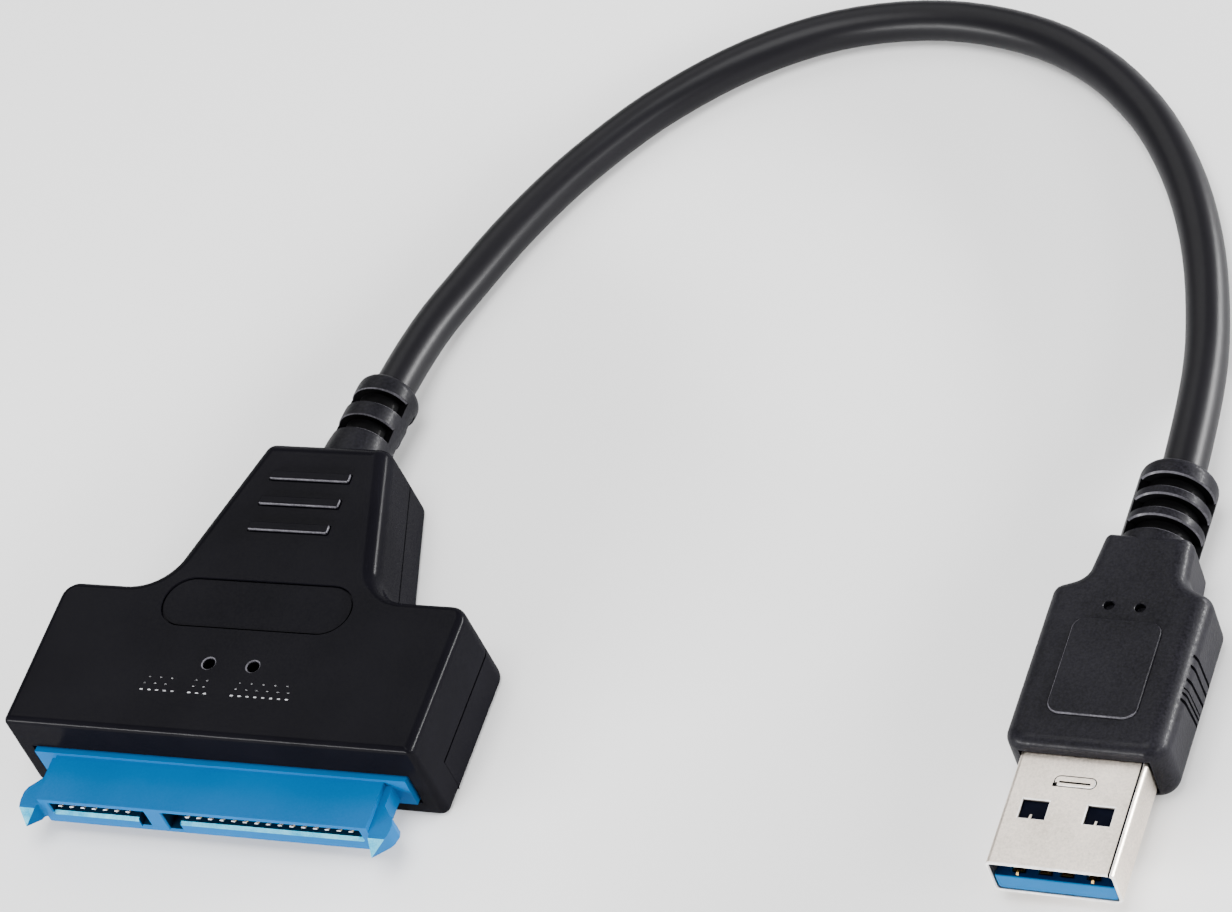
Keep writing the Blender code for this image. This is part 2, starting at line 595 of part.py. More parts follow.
def make_plug(plug):
    half = SHELL_WIDTH / 2
    tall = SHELL_HEIGHT / 2
    outside = [(-half, -tall, 0.6), (half, -tall, 0.6), (half, tall, 0.6), (-half, tall, 0.6)]

    def slice_at(v, inset):
        return [(p[0], v, p[1]) for p in rounded_outline(outside, [inset] * 4, 3)]

    rings = [slice_at(0.25, 0.0), slice_at(SHELL_LENGTH, 0.0), slice_at(SHELL_LENGTH, SHEET),
             slice_at(0.0, SHEET), slice_at(0.0, 0.12)]
    shell = add_body("plug_shell", loft(rings, closed=True), "nickel", plug)
    windows = [(side * WINDOW_X - WINDOW_HALF, side * WINDOW_X + WINDOW_HALF, *WINDOW_V, low, low + 2)
               for side in (-1, 1) for low in (-3.0, 1.0)]
    cut(shell, add_body("window_cutter", boxes(windows), frame=plug))

    floor = -tall + SHEET + GAP
    roof = tall - SHEET - GAP - 0.05
    outline = [(TONGUE_FRONT, floor), (TONGUE_BACK, floor), (TONGUE_BACK, roof), (TONGUE_STEP, roof),
               (TONGUE_STEP, TONGUE_TOP), (TONGUE_FRONT, TONGUE_TOP)]
    side = half - SHEET - GAP
    block = loft([[(-side, v, w) for v, w in outline], [(side, v, w) for v, w in outline]])
    insulator = add_body("plug_insulator", block, "blue", plug)
    blades = [("usb_contact_%d" % (k + 1), x) for k, x in enumerate((-3.5, -1.0, 1.0, 3.5))]
    springs = [("fast_contact_%d" % (k + 1), x) for k, x in enumerate((-4.0, -2.0, 0.0, 2.0, 4.0))]
    front, back = BLADE_V
    pockets = [(x - 0.7, x + 0.7, front - BLADE_POCKET, back + BLADE_POCKET, TONGUE_TOP - 0.5, TONGUE_TOP + 3)
               for name, x in blades]
    cut(insulator, add_body("blade_pocket_cutter", boxes(pockets), frame=plug))
    tunnels = [(x - 0.5, x + 0.5, 7.9, 19, TONGUE_TOP - 0.45, TONGUE_TOP + 0.75) for name, x in springs]
    cut(insulator, add_body("spring_tunnel_cutter", boxes(tunnels), frame=plug))
    for name, x in blades:
        add_body(name, box(x - 0.5, x + 0.5, front, back, TONGUE_TOP - 0.22, TONGUE_TOP + 0.03), "gold", plug)
    line = [(8.2, 0.3), (8.9, 0.65), (9.9, 0.2), (12.5, 0.15), (18.5, 0.15)]
    raised = [(v, TONGUE_TOP + w) for v, w in line]
    for name, x in springs:
        add_body(name, ribbon(raised, 0.6, 0.18, x), "gold", plug)

    wide = GRIP_WIDTH / 2
    corners = [(-wide, GRIP_FRONT, 1.2), (wide, GRIP_FRONT, 1.2), (wide, 30.1, 1.9), (4.8, 31.4, 1.9),
               (4.3, GRIP_NECK_END, 0.7), (-4.3, GRIP_NECK_END, 0.7), (-4.8, 31.4, 1.9), (-wide, 30.1, 1.9)]
    high = GRIP_HEIGHT / 2
    none = [0.0] * 8
    rings = [roll_ring(corners, GRIP_ROLLS, angle, high, 1, none) for angle in (90, 67, 45, 22, 0)]
    rings += [roll_ring(corners, GRIP_ROLLS, angle, -high, -1, none) for angle in (0, 22, 45, 67, 90)]
    grip = add_body("plug_overmould", loft(rings), "rubber", plug, smooth=True)
    along = Vector((0, 1, 0))
    tail = [(33.0, 3.8), (PLUG_END - 0.55, 3.8), (PLUG_END - 0.15, 3.62), (PLUG_END, 3.3)]
    join(grip, add_body("plug_sleeve", loft([round_ring((0, v, 0), along, r) for v, r in tail]), frame=plug, smooth=True))
    cavity = [(-6.3, 6.3, 10, 18.6, -2.55, 2.55)]
    cut(grip, add_body("shell_cavity_cutter", boxes(cavity), frame=plug))
    cut(grip, add_body("mould_cavity_cutter", box(-4.8, 4.8, 18.0, 30.0, -2.9, 2.9), frame=plug))
    bore = loft([round_ring((0, v, 0), along, BORE) for v in (29.0, 50.0)])
    cut(grip, add_body("cable_bore_cutter", bore, frame=plug))
    for k, v in enumerate(PLUG_SLOT_STARTS):
        for name, turn in (("upper", PLUG_SLOT_TURN), ("lower", PLUG_SLOT_TURN + 180)):
            slot = slot_round(v, v + PLUG_SLOT, PLUG_SLOT_FLOOR, PLUG_SLOT_REACH, RIB_ANGLE, turn, (0, 0, 0))
            cut(grip, add_body("%s_plug_slot_cutter_%d" % (name, k + 1), slot, frame=plug))
    square = [(-4.3, 15.4, 1.2), (4.3, 15.4, 1.2), (4.2, 26.0, 1.2), (-4.2, 26.0, 1.2)]
    groove = [flat_ring(square, [0] * 4, high - 0.25), flat_ring(square, [0] * 4, high + 2),
              flat_ring(square, [0.3] * 4, high + 2), flat_ring(square, [0.3] * 4, high - 0.25)]
    cut(grip, add_body("square_cutter", loft(groove, closed=True), frame=plug))
    for name, side in (("left", -1), ("right", 1)):
        rings = [[(side * 1.5 + 0.55 * math.cos(k * math.pi / 6), 27.8 + 0.55 * math.sin(k * math.pi / 6), w)
                  for k in range(12)] for w in (high - 0.5, high + 2)]
        cut(grip, add_body(name + "_dimple_cutter", loft(rings), frame=plug))
    add_body("plug_inner_mould", box(-4.5, 4.5, 18.9, 29.7, -2.6, 2.6), "mould", plug)


clear_scene()
make_head()
make_connector()
make_board()
make_sleeve()
make_wires()
plug_frame = Matrix.Translation(Vector(PLUG_MOUTH)) @ Matrix.Rotation(PLUG_TURN, 4, "Z")
make_cable(plug_frame)
make_plug(plug_frame)
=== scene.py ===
# USB to drive adapter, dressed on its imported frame
import math
import bpy
import bmesh
from mathutils import Matrix, Vector


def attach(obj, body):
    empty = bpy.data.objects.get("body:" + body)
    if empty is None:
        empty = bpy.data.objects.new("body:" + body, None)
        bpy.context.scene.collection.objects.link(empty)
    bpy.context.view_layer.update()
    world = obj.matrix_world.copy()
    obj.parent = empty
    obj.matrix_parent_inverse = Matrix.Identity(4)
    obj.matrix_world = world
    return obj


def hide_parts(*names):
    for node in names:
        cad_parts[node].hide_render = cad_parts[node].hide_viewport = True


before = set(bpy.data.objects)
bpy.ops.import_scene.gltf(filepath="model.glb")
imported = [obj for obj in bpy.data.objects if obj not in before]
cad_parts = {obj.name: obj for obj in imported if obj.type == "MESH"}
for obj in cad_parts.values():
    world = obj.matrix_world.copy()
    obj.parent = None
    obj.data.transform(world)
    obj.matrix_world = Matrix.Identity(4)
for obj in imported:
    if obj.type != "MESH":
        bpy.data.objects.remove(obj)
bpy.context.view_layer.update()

print("frame loaded", len(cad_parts), "nodes")

# sizes are written in millimetres from the head's front edge and turned into metres here
middleY = 20.211988


def toRow(point, place=None):
    spot = Vector(point)
    if place is not None:
        spot = place @ spot
    return Vector((spot.x, spot.y - middleY, spot.z)) * 0.001


# camera
camera = {
    "azimuth": 36.67445, "elevation": 45.6642, "roll": -25.39001,
    "target": (25.76647, 44.43184, 0.0), "distance": 433.58935, "lens": 126.27,
}


def aimCamera(settings):
    a = math.radians(settings["azimuth"])
    e = math.radians(settings["elevation"])
    r = math.radians(settings["roll"])
    back = Vector((math.sin(a) * math.cos(e), -math.cos(a) * math.cos(e), math.sin(e)))
    level = (-back).cross(Vector((0, 0, 1))).normalized()
    upright = level.cross(-back)
    right = level * math.cos(r) + upright * math.sin(r)
    up = upright * math.cos(r) - level * math.sin(r)
    lens = bpy.data.cameras.new("camera")
    lens.lens = settings["lens"]
    lens.sensor_width = 36.0
    lens.clip_start = 0.02
    lens.clip_end = 20.0
    eye = bpy.data.objects.new("camera", lens)
    spot = toRow(settings["target"]) + back * settings["distance"] * 0.001
    turn = Matrix((right, up, back)).transposed().to_4x4()
    eye.matrix_world = Matrix.Translation(spot) @ turn
    bpy.context.scene.collection.objects.link(eye)
    bpy.context.scene.camera = eye


aimCamera(camera)
print("camera placed")


# a socket that can be added, multiplied and so on, each time with a Math node
class Signal:
    def __init__(self, graph, socket):
        self.graph = graph
        self.socket = socket

    def __add__(self, other):
        return self.graph.maths("ADD", self, other)

    def __radd__(self, other):
        return self.graph.maths("ADD", other, self)

    def __sub__(self, other):
        return self.graph.maths("SUBTRACT", self, other)

    def __rsub__(self, other):
        return self.graph.maths("SUBTRACT", other, self)

    def __mul__(self, other):
        return self.graph.maths("MULTIPLY", self, other)

    def __rmul__(self, other):
        return self.graph.maths("MULTIPLY", other, self)

    def __truediv__(self, other):
        return self.graph.maths("DIVIDE", self, other)


class Graph:
    def __init__(self, name):
        self.material = bpy.data.materials.new(name)
        self.material.use_nodes = True
        self.nodes = self.material.node_tree.nodes
        self.links = self.material.node_tree.links
        self.shader = self.nodes["Principled BSDF"]

    def feed(self, socket, value):
        if isinstance(value, Signal):
            self.links.new(value.socket, socket)
        elif hasattr(value, "is_output"):
            self.links.new(value, socket)
        else:
            socket.default_value = value

    def add(self, kind, settings=None, **values):
        made = self.nodes.new(kind)
        for key, value in (settings or {}).items():
            setattr(made, key, value)
        for key, value in values.items():
            name = key.replace("_", " ")
            self.feed(made.inputs[name], value)
        return made

    def maths(self, operation, *values):
        made = self.nodes.new("ShaderNodeMath")
        made.operation = operation
        for socket, value in zip(made.inputs, values):
            self.feed(socket, value)
        return Signal(self, made.outputs[0])

    def noise(self, size, detail=2.0, roughness=0.5):
        # size is in millimetres
        where = self.add("ShaderNodeTexCoord").outputs["Object"]
        made = self.add("ShaderNodeTexNoise", Vector=where, Scale=1000.0 / size, Detail=detail,
                        Roughness=roughness)
        return Signal(self, made.outputs["Fac"])

    def cells(self, size, feature="F1"):
        where = self.add("ShaderNodeTexCoord").outputs["Object"]
        made = self.add("ShaderNodeTexVoronoi", {"feature": feature}, Vector=where, Scale=1000.0 / size)
        return Signal(self, made.outputs["Distance"])

    def blend(self, share, low, high):
        made = self.nodes.new("ShaderNodeMix")
        made.data_type = "RGBA"
        self.feed(made.inputs["Factor"], share)
        self.feed(made.inputs[6], (*low, 1.0))
        self.feed(made.inputs[7], (*high, 1.0))
        return made.outputs[2]

    def ramp(self, signal, low, high):
        floored = self.maths("SMOOTH_MAX", (signal - low) / (high - low), 0.0, 0.05)
        return self.maths("SMOOTH_MIN", floored, 1.0, 0.05)

    def bump(self, height, depth, strength=1.0):
        # depth is in millimetres
        made = self.add("ShaderNodeBump", Height=height, Distance=depth * 0.001, Strength=strength)
        self.links.new(made.outputs["Normal"], self.shader.inputs["Normal"])

    def finish(self, **values):
        for key, value in values.items():
            self.feed(self.shader.inputs[key.replace("_", " ")], value)
        return self.material


def plasticFinish(name, settings):
    # a dull body under a thin gloss that the grain breaks up
    graph = Graph(name)
    cloud = graph.noise(settings["cloud"], 3.0)
    grain = graph.noise(settings["grain"], 4.0, 0.6)
    pits = graph.cells(settings["grain"] * 1.6)
    share = settings.get("grainShare", 0.4)
    mix = graph.ramp(cloud * (1.0 - share) + grain * share, 0.35, 0.65)
    colour = graph.blend(mix, settings["dark"], settings["light"])
    rough = settings["roughness"] + (grain - 0.5) * settings["roughnessSpread"] + (cloud - 0.5) * 0.06
    speckle = graph.ramp(grain * 0.7 + pits * 0.3, 0.32, 0.62)
    gloss = settings.get("gloss", 0.22) * (1.0 - settings.get("speckle", 0.3) * speckle)
    graph.bump(grain * 0.6 + pits * 0.4, settings["depth"])
    graph.shader.inputs["Specular IOR Level"].default_value = settings.get("specular", 0.04)
    graph.shader.inputs["Coat Roughness"].default_value = settings.get("glossRoughness", 0.2)
    return graph.finish(Base_Color=colour, Roughness=rough, Coat_Weight=gloss)


def metalFinish(name, settings):
    graph = Graph(name)
    cloud = graph.noise(settings["cloud"], 3.0)
    speck = graph.noise(settings["grain"], 4.0, 0.7)
    mix = graph.ramp(cloud * 0.4 + speck * 0.6, 0.35, 0.65)
    colour = graph.blend(mix, settings["dark"], settings["light"])
    rough = settings["roughness"] + (speck - 0.5) * settings["roughnessSpread"]
    graph.bump(speck, settings["depth"])
    return graph.finish(Base_Color=colour, Roughness=rough, Metallic=settings.get("metallic", 1.0))


finishes = {
    "housing": plasticFinish("housing black", {
        "dark": (0.0026, 0.0025, 0.0036), "light": (0.0044, 0.0042, 0.0058), "cloud": 9.0, "grain": 0.16,
        "roughness": 0.5, "roughnessSpread": 0.14, "depth": 0.006, "gloss": 0.1, "speckle": 0.4,
        "glossRoughness": 0.2, "specular": 0.0}),
    "grip": plasticFinish("grip black", {
        "dark": (0.0022, 0.0021, 0.0030), "light": (0.0120, 0.0115, 0.0150), "cloud": 7.0, "grain": 0.24,
        "grainShare": 0.75, "roughness": 0.5, "roughnessSpread": 0.16, "depth": 0.024,
        "gloss": 0.14, "speckle": 0.85,
        "glossRoughness": 0.26}),
    "sleeve": plasticFinish("sleeve black", {
        "dark": (0.0022, 0.0022, 0.0030), "light": (0.0100, 0.0097, 0.0125), "cloud": 4.0, "grain": 0.24,
        "grainShare": 0.75, "roughness": 0.5, "roughnessSpread": 0.12, "depth": 0.022,
        "gloss": 0.14, "speckle": 0.85,
        "glossRoughness": 0.28}),
    "sheath": plasticFinish("cable black", {
        "dark": (0.0042, 0.0040, 0.0052), "light": (0.0058, 0.0055, 0.0070), "cloud": 12.0, "grain": 0.5,
        "roughness": 0.45, "roughnessSpread": 0.08, "depth": 0.003, "gloss": 0.21, "speckle": 0.1,
        "glossRoughness": 0.34}),
    "blue": plasticFinish("connector blue", {
        "dark": (0.0, 0.080, 0.235), "light": (0.0, 0.092, 0.265), "cloud": 8.0, "grain": 0.25,
        "roughness": 0.45, "roughnessSpread": 0.10, "depth": 0.004, "gloss": 0.05, "speckle": 0.2,
        "glossRoughness": 0.25}),
    # painted shade: a dark navy for the insides of the drive connector's slots
    "shade": plasticFinish("slot shade", {
        "dark": (0.0, 0.012, 0.032), "light": (0.001, 0.018, 0.045), "cloud": 3.0, "grain": 0.2,
        "roughness": 0.6, "roughnessSpread": 0.10, "depth": 0.004, "gloss": 0.05}),
    "tongue": plasticFinish("tongue blue", {
        "dark": (0.0, 0.088, 0.245), "light": (0.0, 0.102, 0.28), "cloud": 4.0, "grain": 0.2,
        "roughness": 0.4, "roughnessSpread": 0.10, "depth": 0.003, "gloss": 0.08, "speckle": 0.2,
        "glossRoughness": 0.15}),
    # painted shade: a dark navy for the tongue's top inside the shell
    "navy": plasticFinish("tongue shade", {
        "dark": (0.0, 0.010, 0.045), "light": (0.0, 0.016, 0.070), "cloud": 2.0, "grain": 0.2,
        "roughness": 0.6, "roughnessSpread": 0.10, "depth": 0.004, "gloss": 0.05}),
    # painted shade: near black for the insides of slots, the shell's seam and the lance's moat
    "pitch": plasticFinish("painted shade black", {
        "dark": (0.0006, 0.0006, 0.0008), "light": (0.0012, 0.0012, 0.0015), "cloud": 2.0, "grain": 0.2,
        "roughness": 0.7, "roughnessSpread": 0.10, "depth": 0.004, "gloss": 0.02}),
    # painted highlight: a lighter black for edges that face the light
    "rim": plasticFinish("lit black edge", {
        "dark": (0.030, 0.029, 0.034), "light": (0.095, 0.092, 0.105), "cloud": 1.2, "grain": 0.2,
        "grainShare": 0.6, "roughness": 0.5, "roughnessSpread": 0.12, "depth": 0.01, "gloss": 0.2}),
    # painted highlight: near white for the shell's edges that face the light
    "paintedHighlightWhite": plasticFinish("painted highlight white", {
        "dark": (0.62, 0.60, 0.58), "light": (0.92, 0.90, 0.88), "cloud": 1.2, "grain": 0.16,
        "roughness": 0.4, "roughnessSpread": 0.12, "depth": 0.006}),
    "ink": plasticFinish("white ink", {
        "dark": (0.16, 0.16, 0.17), "light": (0.60, 0.60, 0.62), "cloud": 0.5, "grain": 0.12,
        "roughness": 0.6, "roughnessSpread": 0.12, "depth": 0.004}),
    # painted shade: near black for the sheet behind the shell's windows
    "windowShade": plasticFinish("painted window shade", {
        "dark": (0.0008, 0.0014, 0.005), "light": (0.0014, 0.0024, 0.008), "cloud": 2.0, "grain": 0.2,
        "roughness": 0.7, "roughnessSpread": 0.10, "depth": 0.004, "gloss": 0.0}),
    # painted highlight: a pale blue for chamfers and facets that face the light
    "paintedHighlightBlue": plasticFinish("painted highlight blue", {
        "dark": (0.0, 0.24, 0.42), "light": (0.12, 0.50, 0.66), "cloud": 1.2, "grain": 0.14,
        "roughness": 0.4, "roughnessSpread": 0.10, "depth": 0.008, "gloss": 0.3}),
    "board": plasticFinish("board green", {
        "dark": (0.006, 0.08, 0.035), "light": (0.012, 0.13, 0.055), "cloud": 3.0, "grain": 0.2,
        "roughness": 0.4, "roughnessSpread": 0.1, "depth": 0.003}),
    "chip": plasticFinish("chip black", {
        "dark": (0.016, 0.016, 0.018), "light": (0.024, 0.024, 0.026), "cloud": 2.0, "grain": 0.12,
        "roughness": 0.55, "roughnessSpread": 0.1, "depth": 0.006}),
    "ceramic": plasticFinish("tan ceramic", {
        "dark": (0.36, 0.23, 0.12), "light": (0.46, 0.31, 0.18), "cloud": 1.0, "grain": 0.1,
        "roughness": 0.5, "roughnessSpread": 0.1, "depth": 0.004}),
    "lamp": plasticFinish("clear lamp", {
        "dark": (0.62, 0.66, 0.60), "light": (0.74, 0.76, 0.70), "cloud": 1.0, "grain": 0.2,
        "roughness": 0.25, "roughnessSpread": 0.05, "depth": 0.002}),
    "mould": plasticFinish("inner mould", {
        "dark": (0.48, 0.47, 0.43), "light": (0.58, 0.57, 0.52), "cloud": 4.0, "grain": 0.3,
        "roughness": 0.6, "roughnessSpread": 0.1, "depth": 0.01}),
    "nickel": metalFinish("satin nickel", {
        "dark": (0.56, 0.495, 0.43), "light": (0.90, 0.81, 0.71), "cloud": 5.0, "grain": 0.24,
        "roughness": 0.36, "roughnessSpread": 0.24, "depth": 0.006}),
    "gold": metalFinish("contact gold", {
        "dark": (0.70, 0.42, 0.12), "light": (0.86, 0.58, 0.22), "cloud": 1.5, "grain": 0.15,
        "roughness": 0.25, "roughnessSpread": 0.12, "depth": 0.002}),
    "tin": metalFinish("plated tin", {
        "dark": (0.50, 0.50, 0.52), "light": (0.66, 0.66, 0.68), "cloud": 2.0, "grain": 0.2,
        "roughness": 0.35, "roughnessSpread": 0.15, "depth": 0.003}),
}
wireColours = {"red": (0.45, 0.015, 0.015), "black": (0.012, 0.012, 0.012), "white": (0.66, 0.66, 0.64),
               "green": (0.015, 0.22, 0.045), "yellow": (0.66, 0.45, 0.02)}
for word, colour in wireColours.items():
    finishes[word] = plasticFinish("wire " + word, {
        "dark": tuple(c * 0.85 for c in colour), "light": colour, "cloud": 3.0, "grain": 0.3,
        "roughness": 0.45, "roughnessSpread": 0.08, "depth": 0.003})
print("finishes made", len(finishes))


# outlines, lofts and cuts
def roundOutline(corners, insets, steps=10, smallest=0.08):
    count = len(corners)
    sides = []
    for i in range(count):
        start = Vector(corners[i][:2])
        along = (Vector(corners[(i + 1) % count][:2]) - start).normalized()
        sides.append((start + Vector((-along.y, along.x)) * insets[i], along))
    made = []
    for i in range(count):
        (before, along), (after, leave) = sides[i - 1], sides[i]
        cross = along.x * leave.y - along.y * leave.x
        gap = after - before
        meet = before + along * ((gap.x * leave.y - gap.y * leave.x) / cross)
        turn = math.atan2(cross, along.dot(leave))
        hand = 1.0 if turn > 0 else -1.0
        radius = max(smallest, corners[i][2] - hand * (insets[i - 1] + insets[i]) / 2)
        start = meet - along * radius * math.tan(abs(turn) / 2)
        centre = start + Vector((-along.y, along.x)) * radius * hand
        arm = (start - centre).to_3d()
        for k in range(steps + 1):
            spot = centre.to_3d() + Matrix.Rotation(turn * k / steps, 3, "Z") @ arm
            made.append((spot.x, spot.y, i, k / steps))
    return made


def levelRing(corners, insets, z, steps=10):
    return [(p[0], p[1], z) for p in roundOutline(corners, insets, steps)]


def edgeRing(corners, rolls, share, top, toward, extra, steps=10):
    # one ring of the rounding between a wall (share 0) and a flat face (share 1)
    turn = math.radians(90 * share)
    insets = [roll * (1 - math.cos(turn)) + more for roll, more in zip(rolls, extra)]
    ring = []
    for x, y, corner, part in roundOutline(corners, insets, steps):
        roll = rolls[corner - 1] * (1 - part) + rolls[corner] * part
        ring.append((x, y, top - toward * roll * (1 - math.sin(turn))))
    return ring


def loft(rings, closed=False):
    count = len(rings[0])
    points = [point for ring in rings for point in ring]
    faces = []
    spans = len(rings) if closed else len(rings) - 1
    for k in range(spans):
        here = k * count
        there = (k + 1) % len(rings) * count
        for i in range(count):
            j = (i + 1) % count
            faces.append((here + i, here + j, there + j, there + i))
    if not closed:
        faces.append(tuple(range(count)))
        faces.append(tuple(range((len(rings) - 1) * count, len(rings) * count)))
    return points, faces


def block(x0, x1, y0, y1, z0, z1, flare=0.0):
    # flare widens the top by that much on every side
    low = [(x0, y0, z0), (x1, y0, z0), (x1, y1, z0), (x0, y1, z0)]
    high = [(x0 - flare, y0 - flare, z1), (x1 + flare, y0 - flare, z1),
            (x1 + flare, y1 + flare, z1), (x0 - flare, y1 + flare, z1)]
    return loft([low, high])


def several(shapes):
    points = []
    faces = []
    for more, sides in shapes:
        start = len(points)
        points += more
        faces += [tuple(start + i for i in side) for side in sides]
    return points, faces


def drum(x, y, levels, count=32):
    # a round plug standing on z, levels are (z, radius)
    rings = []
    for z, radius in levels:
        turns = [math.tau * k / count for k in range(count)]
        rings.append([(x + radius * math.cos(turn), y + radius * math.sin(turn), z) for turn in turns])
    return loft(rings)


def ringRound(centre, along, radius, count=40):
    side = Vector((along.y, -along.x, 0)).normalized()
    up = side.cross(along).normalized()
    made = []
    for k in range(count):
        turn = math.tau * k / count
        made.append(tuple(Vector(centre) + (side * math.cos(turn) + up * math.sin(turn)) * radius))
    return made


def slotRound(start, end, floor, skin, first, span, centre=(0.0, 0.0), edge=0.16, steps=20):
    # part of a ring from the first angle on, with eased edges where it leaves a round sleeve
    profile = [(start, floor), (end, floor), (end, skin - edge), (end + edge, skin + 0.02),
               (end + edge, skin + 2), (start - edge, skin + 2), (start - edge, skin + 0.02),
               (start, skin - edge)]
    rings = []
    for k in range(steps + 1):
        turn = math.radians(first + span * k / steps)
        across, up = math.cos(turn), math.sin(turn)
        rings.append([(centre[0] + r * across, y, centre[1] + r * up) for y, r in profile])
    return loft(rings)


def ribbonShape(line, wide, thick, middle):
    spots = [Vector(p) for p in line]
    high = []
    low = []
    for i, spot in enumerate(spots):
        before = (spot - spots[i - 1]).normalized() if i else None
        after = (spots[i + 1] - spot).normalized() if i + 1 < len(spots) else None
        run = ((before or after) + (after or before)).normalized()
        normal = Vector((-run.y, run.x)) * thick / 2
        high.append(spot + normal)
        low.append(spot - normal)
    outline = high + low[::-1]
    return loft([[(x, p.x, p.y) for p in outline] for x in (middle - wide / 2, middle + wide / 2)])


def makePiece(name, shape, finish=None, place=None):
    points, faces = shape
    mesh = bpy.data.meshes.new(name)
    mesh.from_pydata([toRow(point, place) for point in points], [], faces)
    work = bmesh.new()
    work.from_mesh(mesh)
    bmesh.ops.recalc_face_normals(work, faces=work.faces)
    work.to_mesh(mesh)
    work.free()
    made = bpy.data.objects.new(name, mesh)
    bpy.context.scene.collection.objects.link(made)
    if finish:
        mesh.materials.append(finishes[finish])
    return made


def settle(piece):
    # the piece's modifiers become its own mesh
    bpy.context.view_layer.update()
    made = bpy.data.meshes.new_from_object(piece.evaluated_get(bpy.context.evaluated_depsgraph_get()))
    piece.modifiers.clear()
    before = piece.data
    piece.data = made
    bpy.data.meshes.remove(before)
    piece.data.name = piece.name


def shapeWith(piece, operation, shapes, place=None):
    tools = []
    for shape in shapes:
        tool = makePiece("tool", shape, place=place)
        change = piece.modifiers.new("change", "BOOLEAN")
        change.operation = operation
        change.solver = "EXACT"
        change.object = tool
        tools.append(tool)
    settle(piece)
    for tool in tools:
        bpy.data.objects.remove(tool, do_unlink=True)


def carve(piece, *shapes, place=None):
    shapeWith(piece, "DIFFERENCE", shapes, place)


def weld(piece, *shapes, place=None):
    shapeWith(piece, "UNION", shapes, place)


def soften(piece, width, segments=2, angle=32.0):
    change = piece.modifiers.new("soft edges", "BEVEL")
    change.width = width * 0.001
    change.segments = segments
    change.limit_method = "ANGLE"
    change.angle_limit = math.radians(angle)
    change.miter_outer = "MITER_ARC"
    settle(piece)


def shade(piece, angle=34.0):
    mesh = piece.data
    mesh.polygons.foreach_set("use_smooth", [True] * len(mesh.polygons))
    mesh.set_sharp_from_angle(angle=math.radians(angle))
    change = piece.modifiers.new("even shading", "WEIGHTED_NORMAL")
    change.keep_sharp = True
    change.weight = 80


def paintFaces(piece, finish, test, place=None):
    # some faces get a second finish, the test is given each face's middle in millimetres and its normal
    piece.data.materials.append(finishes[finish])
    index = len(piece.data.materials) - 1
    back = (place or Matrix()).inverted()
    turn = back.to_3x3()
    for face in piece.data.polygons:
        if test(back @ (face.center * 1000 + Vector((0, middleY, 0))), turn @ face.normal):
            face.material_index = index


def paintSlots(piece, slots, skin, centreAt, place=None):
    # the insides of a sleeve's slots get painted shade and their eased edges a painted highlight

    def away(spot):
        x, z = centreAt(spot.y)
        return math.hypot(spot.x - x, spot.z - z)

    def inside(spot, normal):
        return any(a - 0.01 < spot.y < b + 0.01 for a, b in slots) and away(spot) < skin - 0.1

    def eased(spot, normal):
        near = any(a - 0.2 < spot.y < a or b < spot.y < b + 0.2 for a, b in slots)
        return near and 0.3 < abs(normal.y) < 0.95 and abs(away(spot) - skin) < 0.25

    paintFaces(piece, "pitch", inside, place)
    paintFaces(piece, "rim", eased, place)


def wear(piece, slotName, *nodes):
    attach(piece, "root")
    if nodes:
        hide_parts(*nodes)
    return piece


# the cable's route, the same as the solids
route = [(0.0, 30.6, 4.4), (0.0, 33.3, 4.4), (0.0, 37.4, 4.4), (0.1, 43.0, 4.2), (0.4, 48.6, 3.7),
         (0.65, 54.0, 3.05), (1.35, 59.2, 2.55), (2.87, 64.55, 2.25), (4.98, 70.55, 2.2), (7.33, 75.85, 2.2),
         (10.05, 80.89, 2.2), (13.74, 86.36, 2.2), (17.21, 90.55, 2.2), (21.98, 95.01, 2.2),
         (26.64, 98.29, 2.2), (32.09, 100.99, 2.2), (37.71, 102.56, 2.2), (43.95, 103.17, 2.2),
         (49.93, 102.65, 2.2), (56.02, 101.03, 2.2), (61.18, 98.64, 2.2), (66.15, 95.16, 2.2),
         (70.66, 90.69, 2.2), (73.84, 86.57, 2.2), (77.12, 81.15, 2.2), (79.72, 75.6, 2.2),
         (81.74, 70.02, 2.2), (83.3, 64.3, 2.22), (84.65, 58.0, 2.5), (85.6, 51.0, 3.25)]
cableHeight = route[0][2]
plugPlace = Matrix.Translation((84.97, -3.95, 3.85)) @ Matrix.Rotation(math.radians(-1.53), 4, "Z")
cableRadius = 2.15


def smoothRoute(points, spans=24):
    ends = [Vector(p) for p in [points[0]] + list(points) + [points[-1]]]
    made = []
    for i in range(1, len(ends) - 2):
        a, b, c, d = ends[i - 1:i + 3]
        for k in range(spans):
            t = k / spans
            made.append(0.5 * (2 * b + (c - a) * t + (2 * a - 5 * b + 4 * c - d) * t * t
                               + (3 * b - a - 3 * c + d) * t ** 3))
    made.append(ends[-1])
    return made


def evenRoute(points, spacing):
    runs = [0.0]
    for before, after in zip(points, points[1:]):
        runs.append(runs[-1] + (after - before).length)
    count = max(2, round(runs[-1] / spacing))
    made = []
    at = 0
    for k in range(count + 1):
        want = runs[-1] * k / count
        while at < len(runs) - 2 and runs[at + 1] < want:
            at += 1
        share = (want - runs[at]) / max(1e-9, runs[at + 1] - runs[at])
        made.append(points[at].lerp(points[at + 1], min(1.0, share)))
    return made


def routeAt(points, y):
    for before, after in zip(points, points[1:]):
        if before.y <= y <= after.y:
            share = (y - before.y) / max(1e-9, after.y - before.y)
            return before.lerp(after, share), (after - before).normalized()
    return points[-1], (points[-1] - points[-2]).normalized()


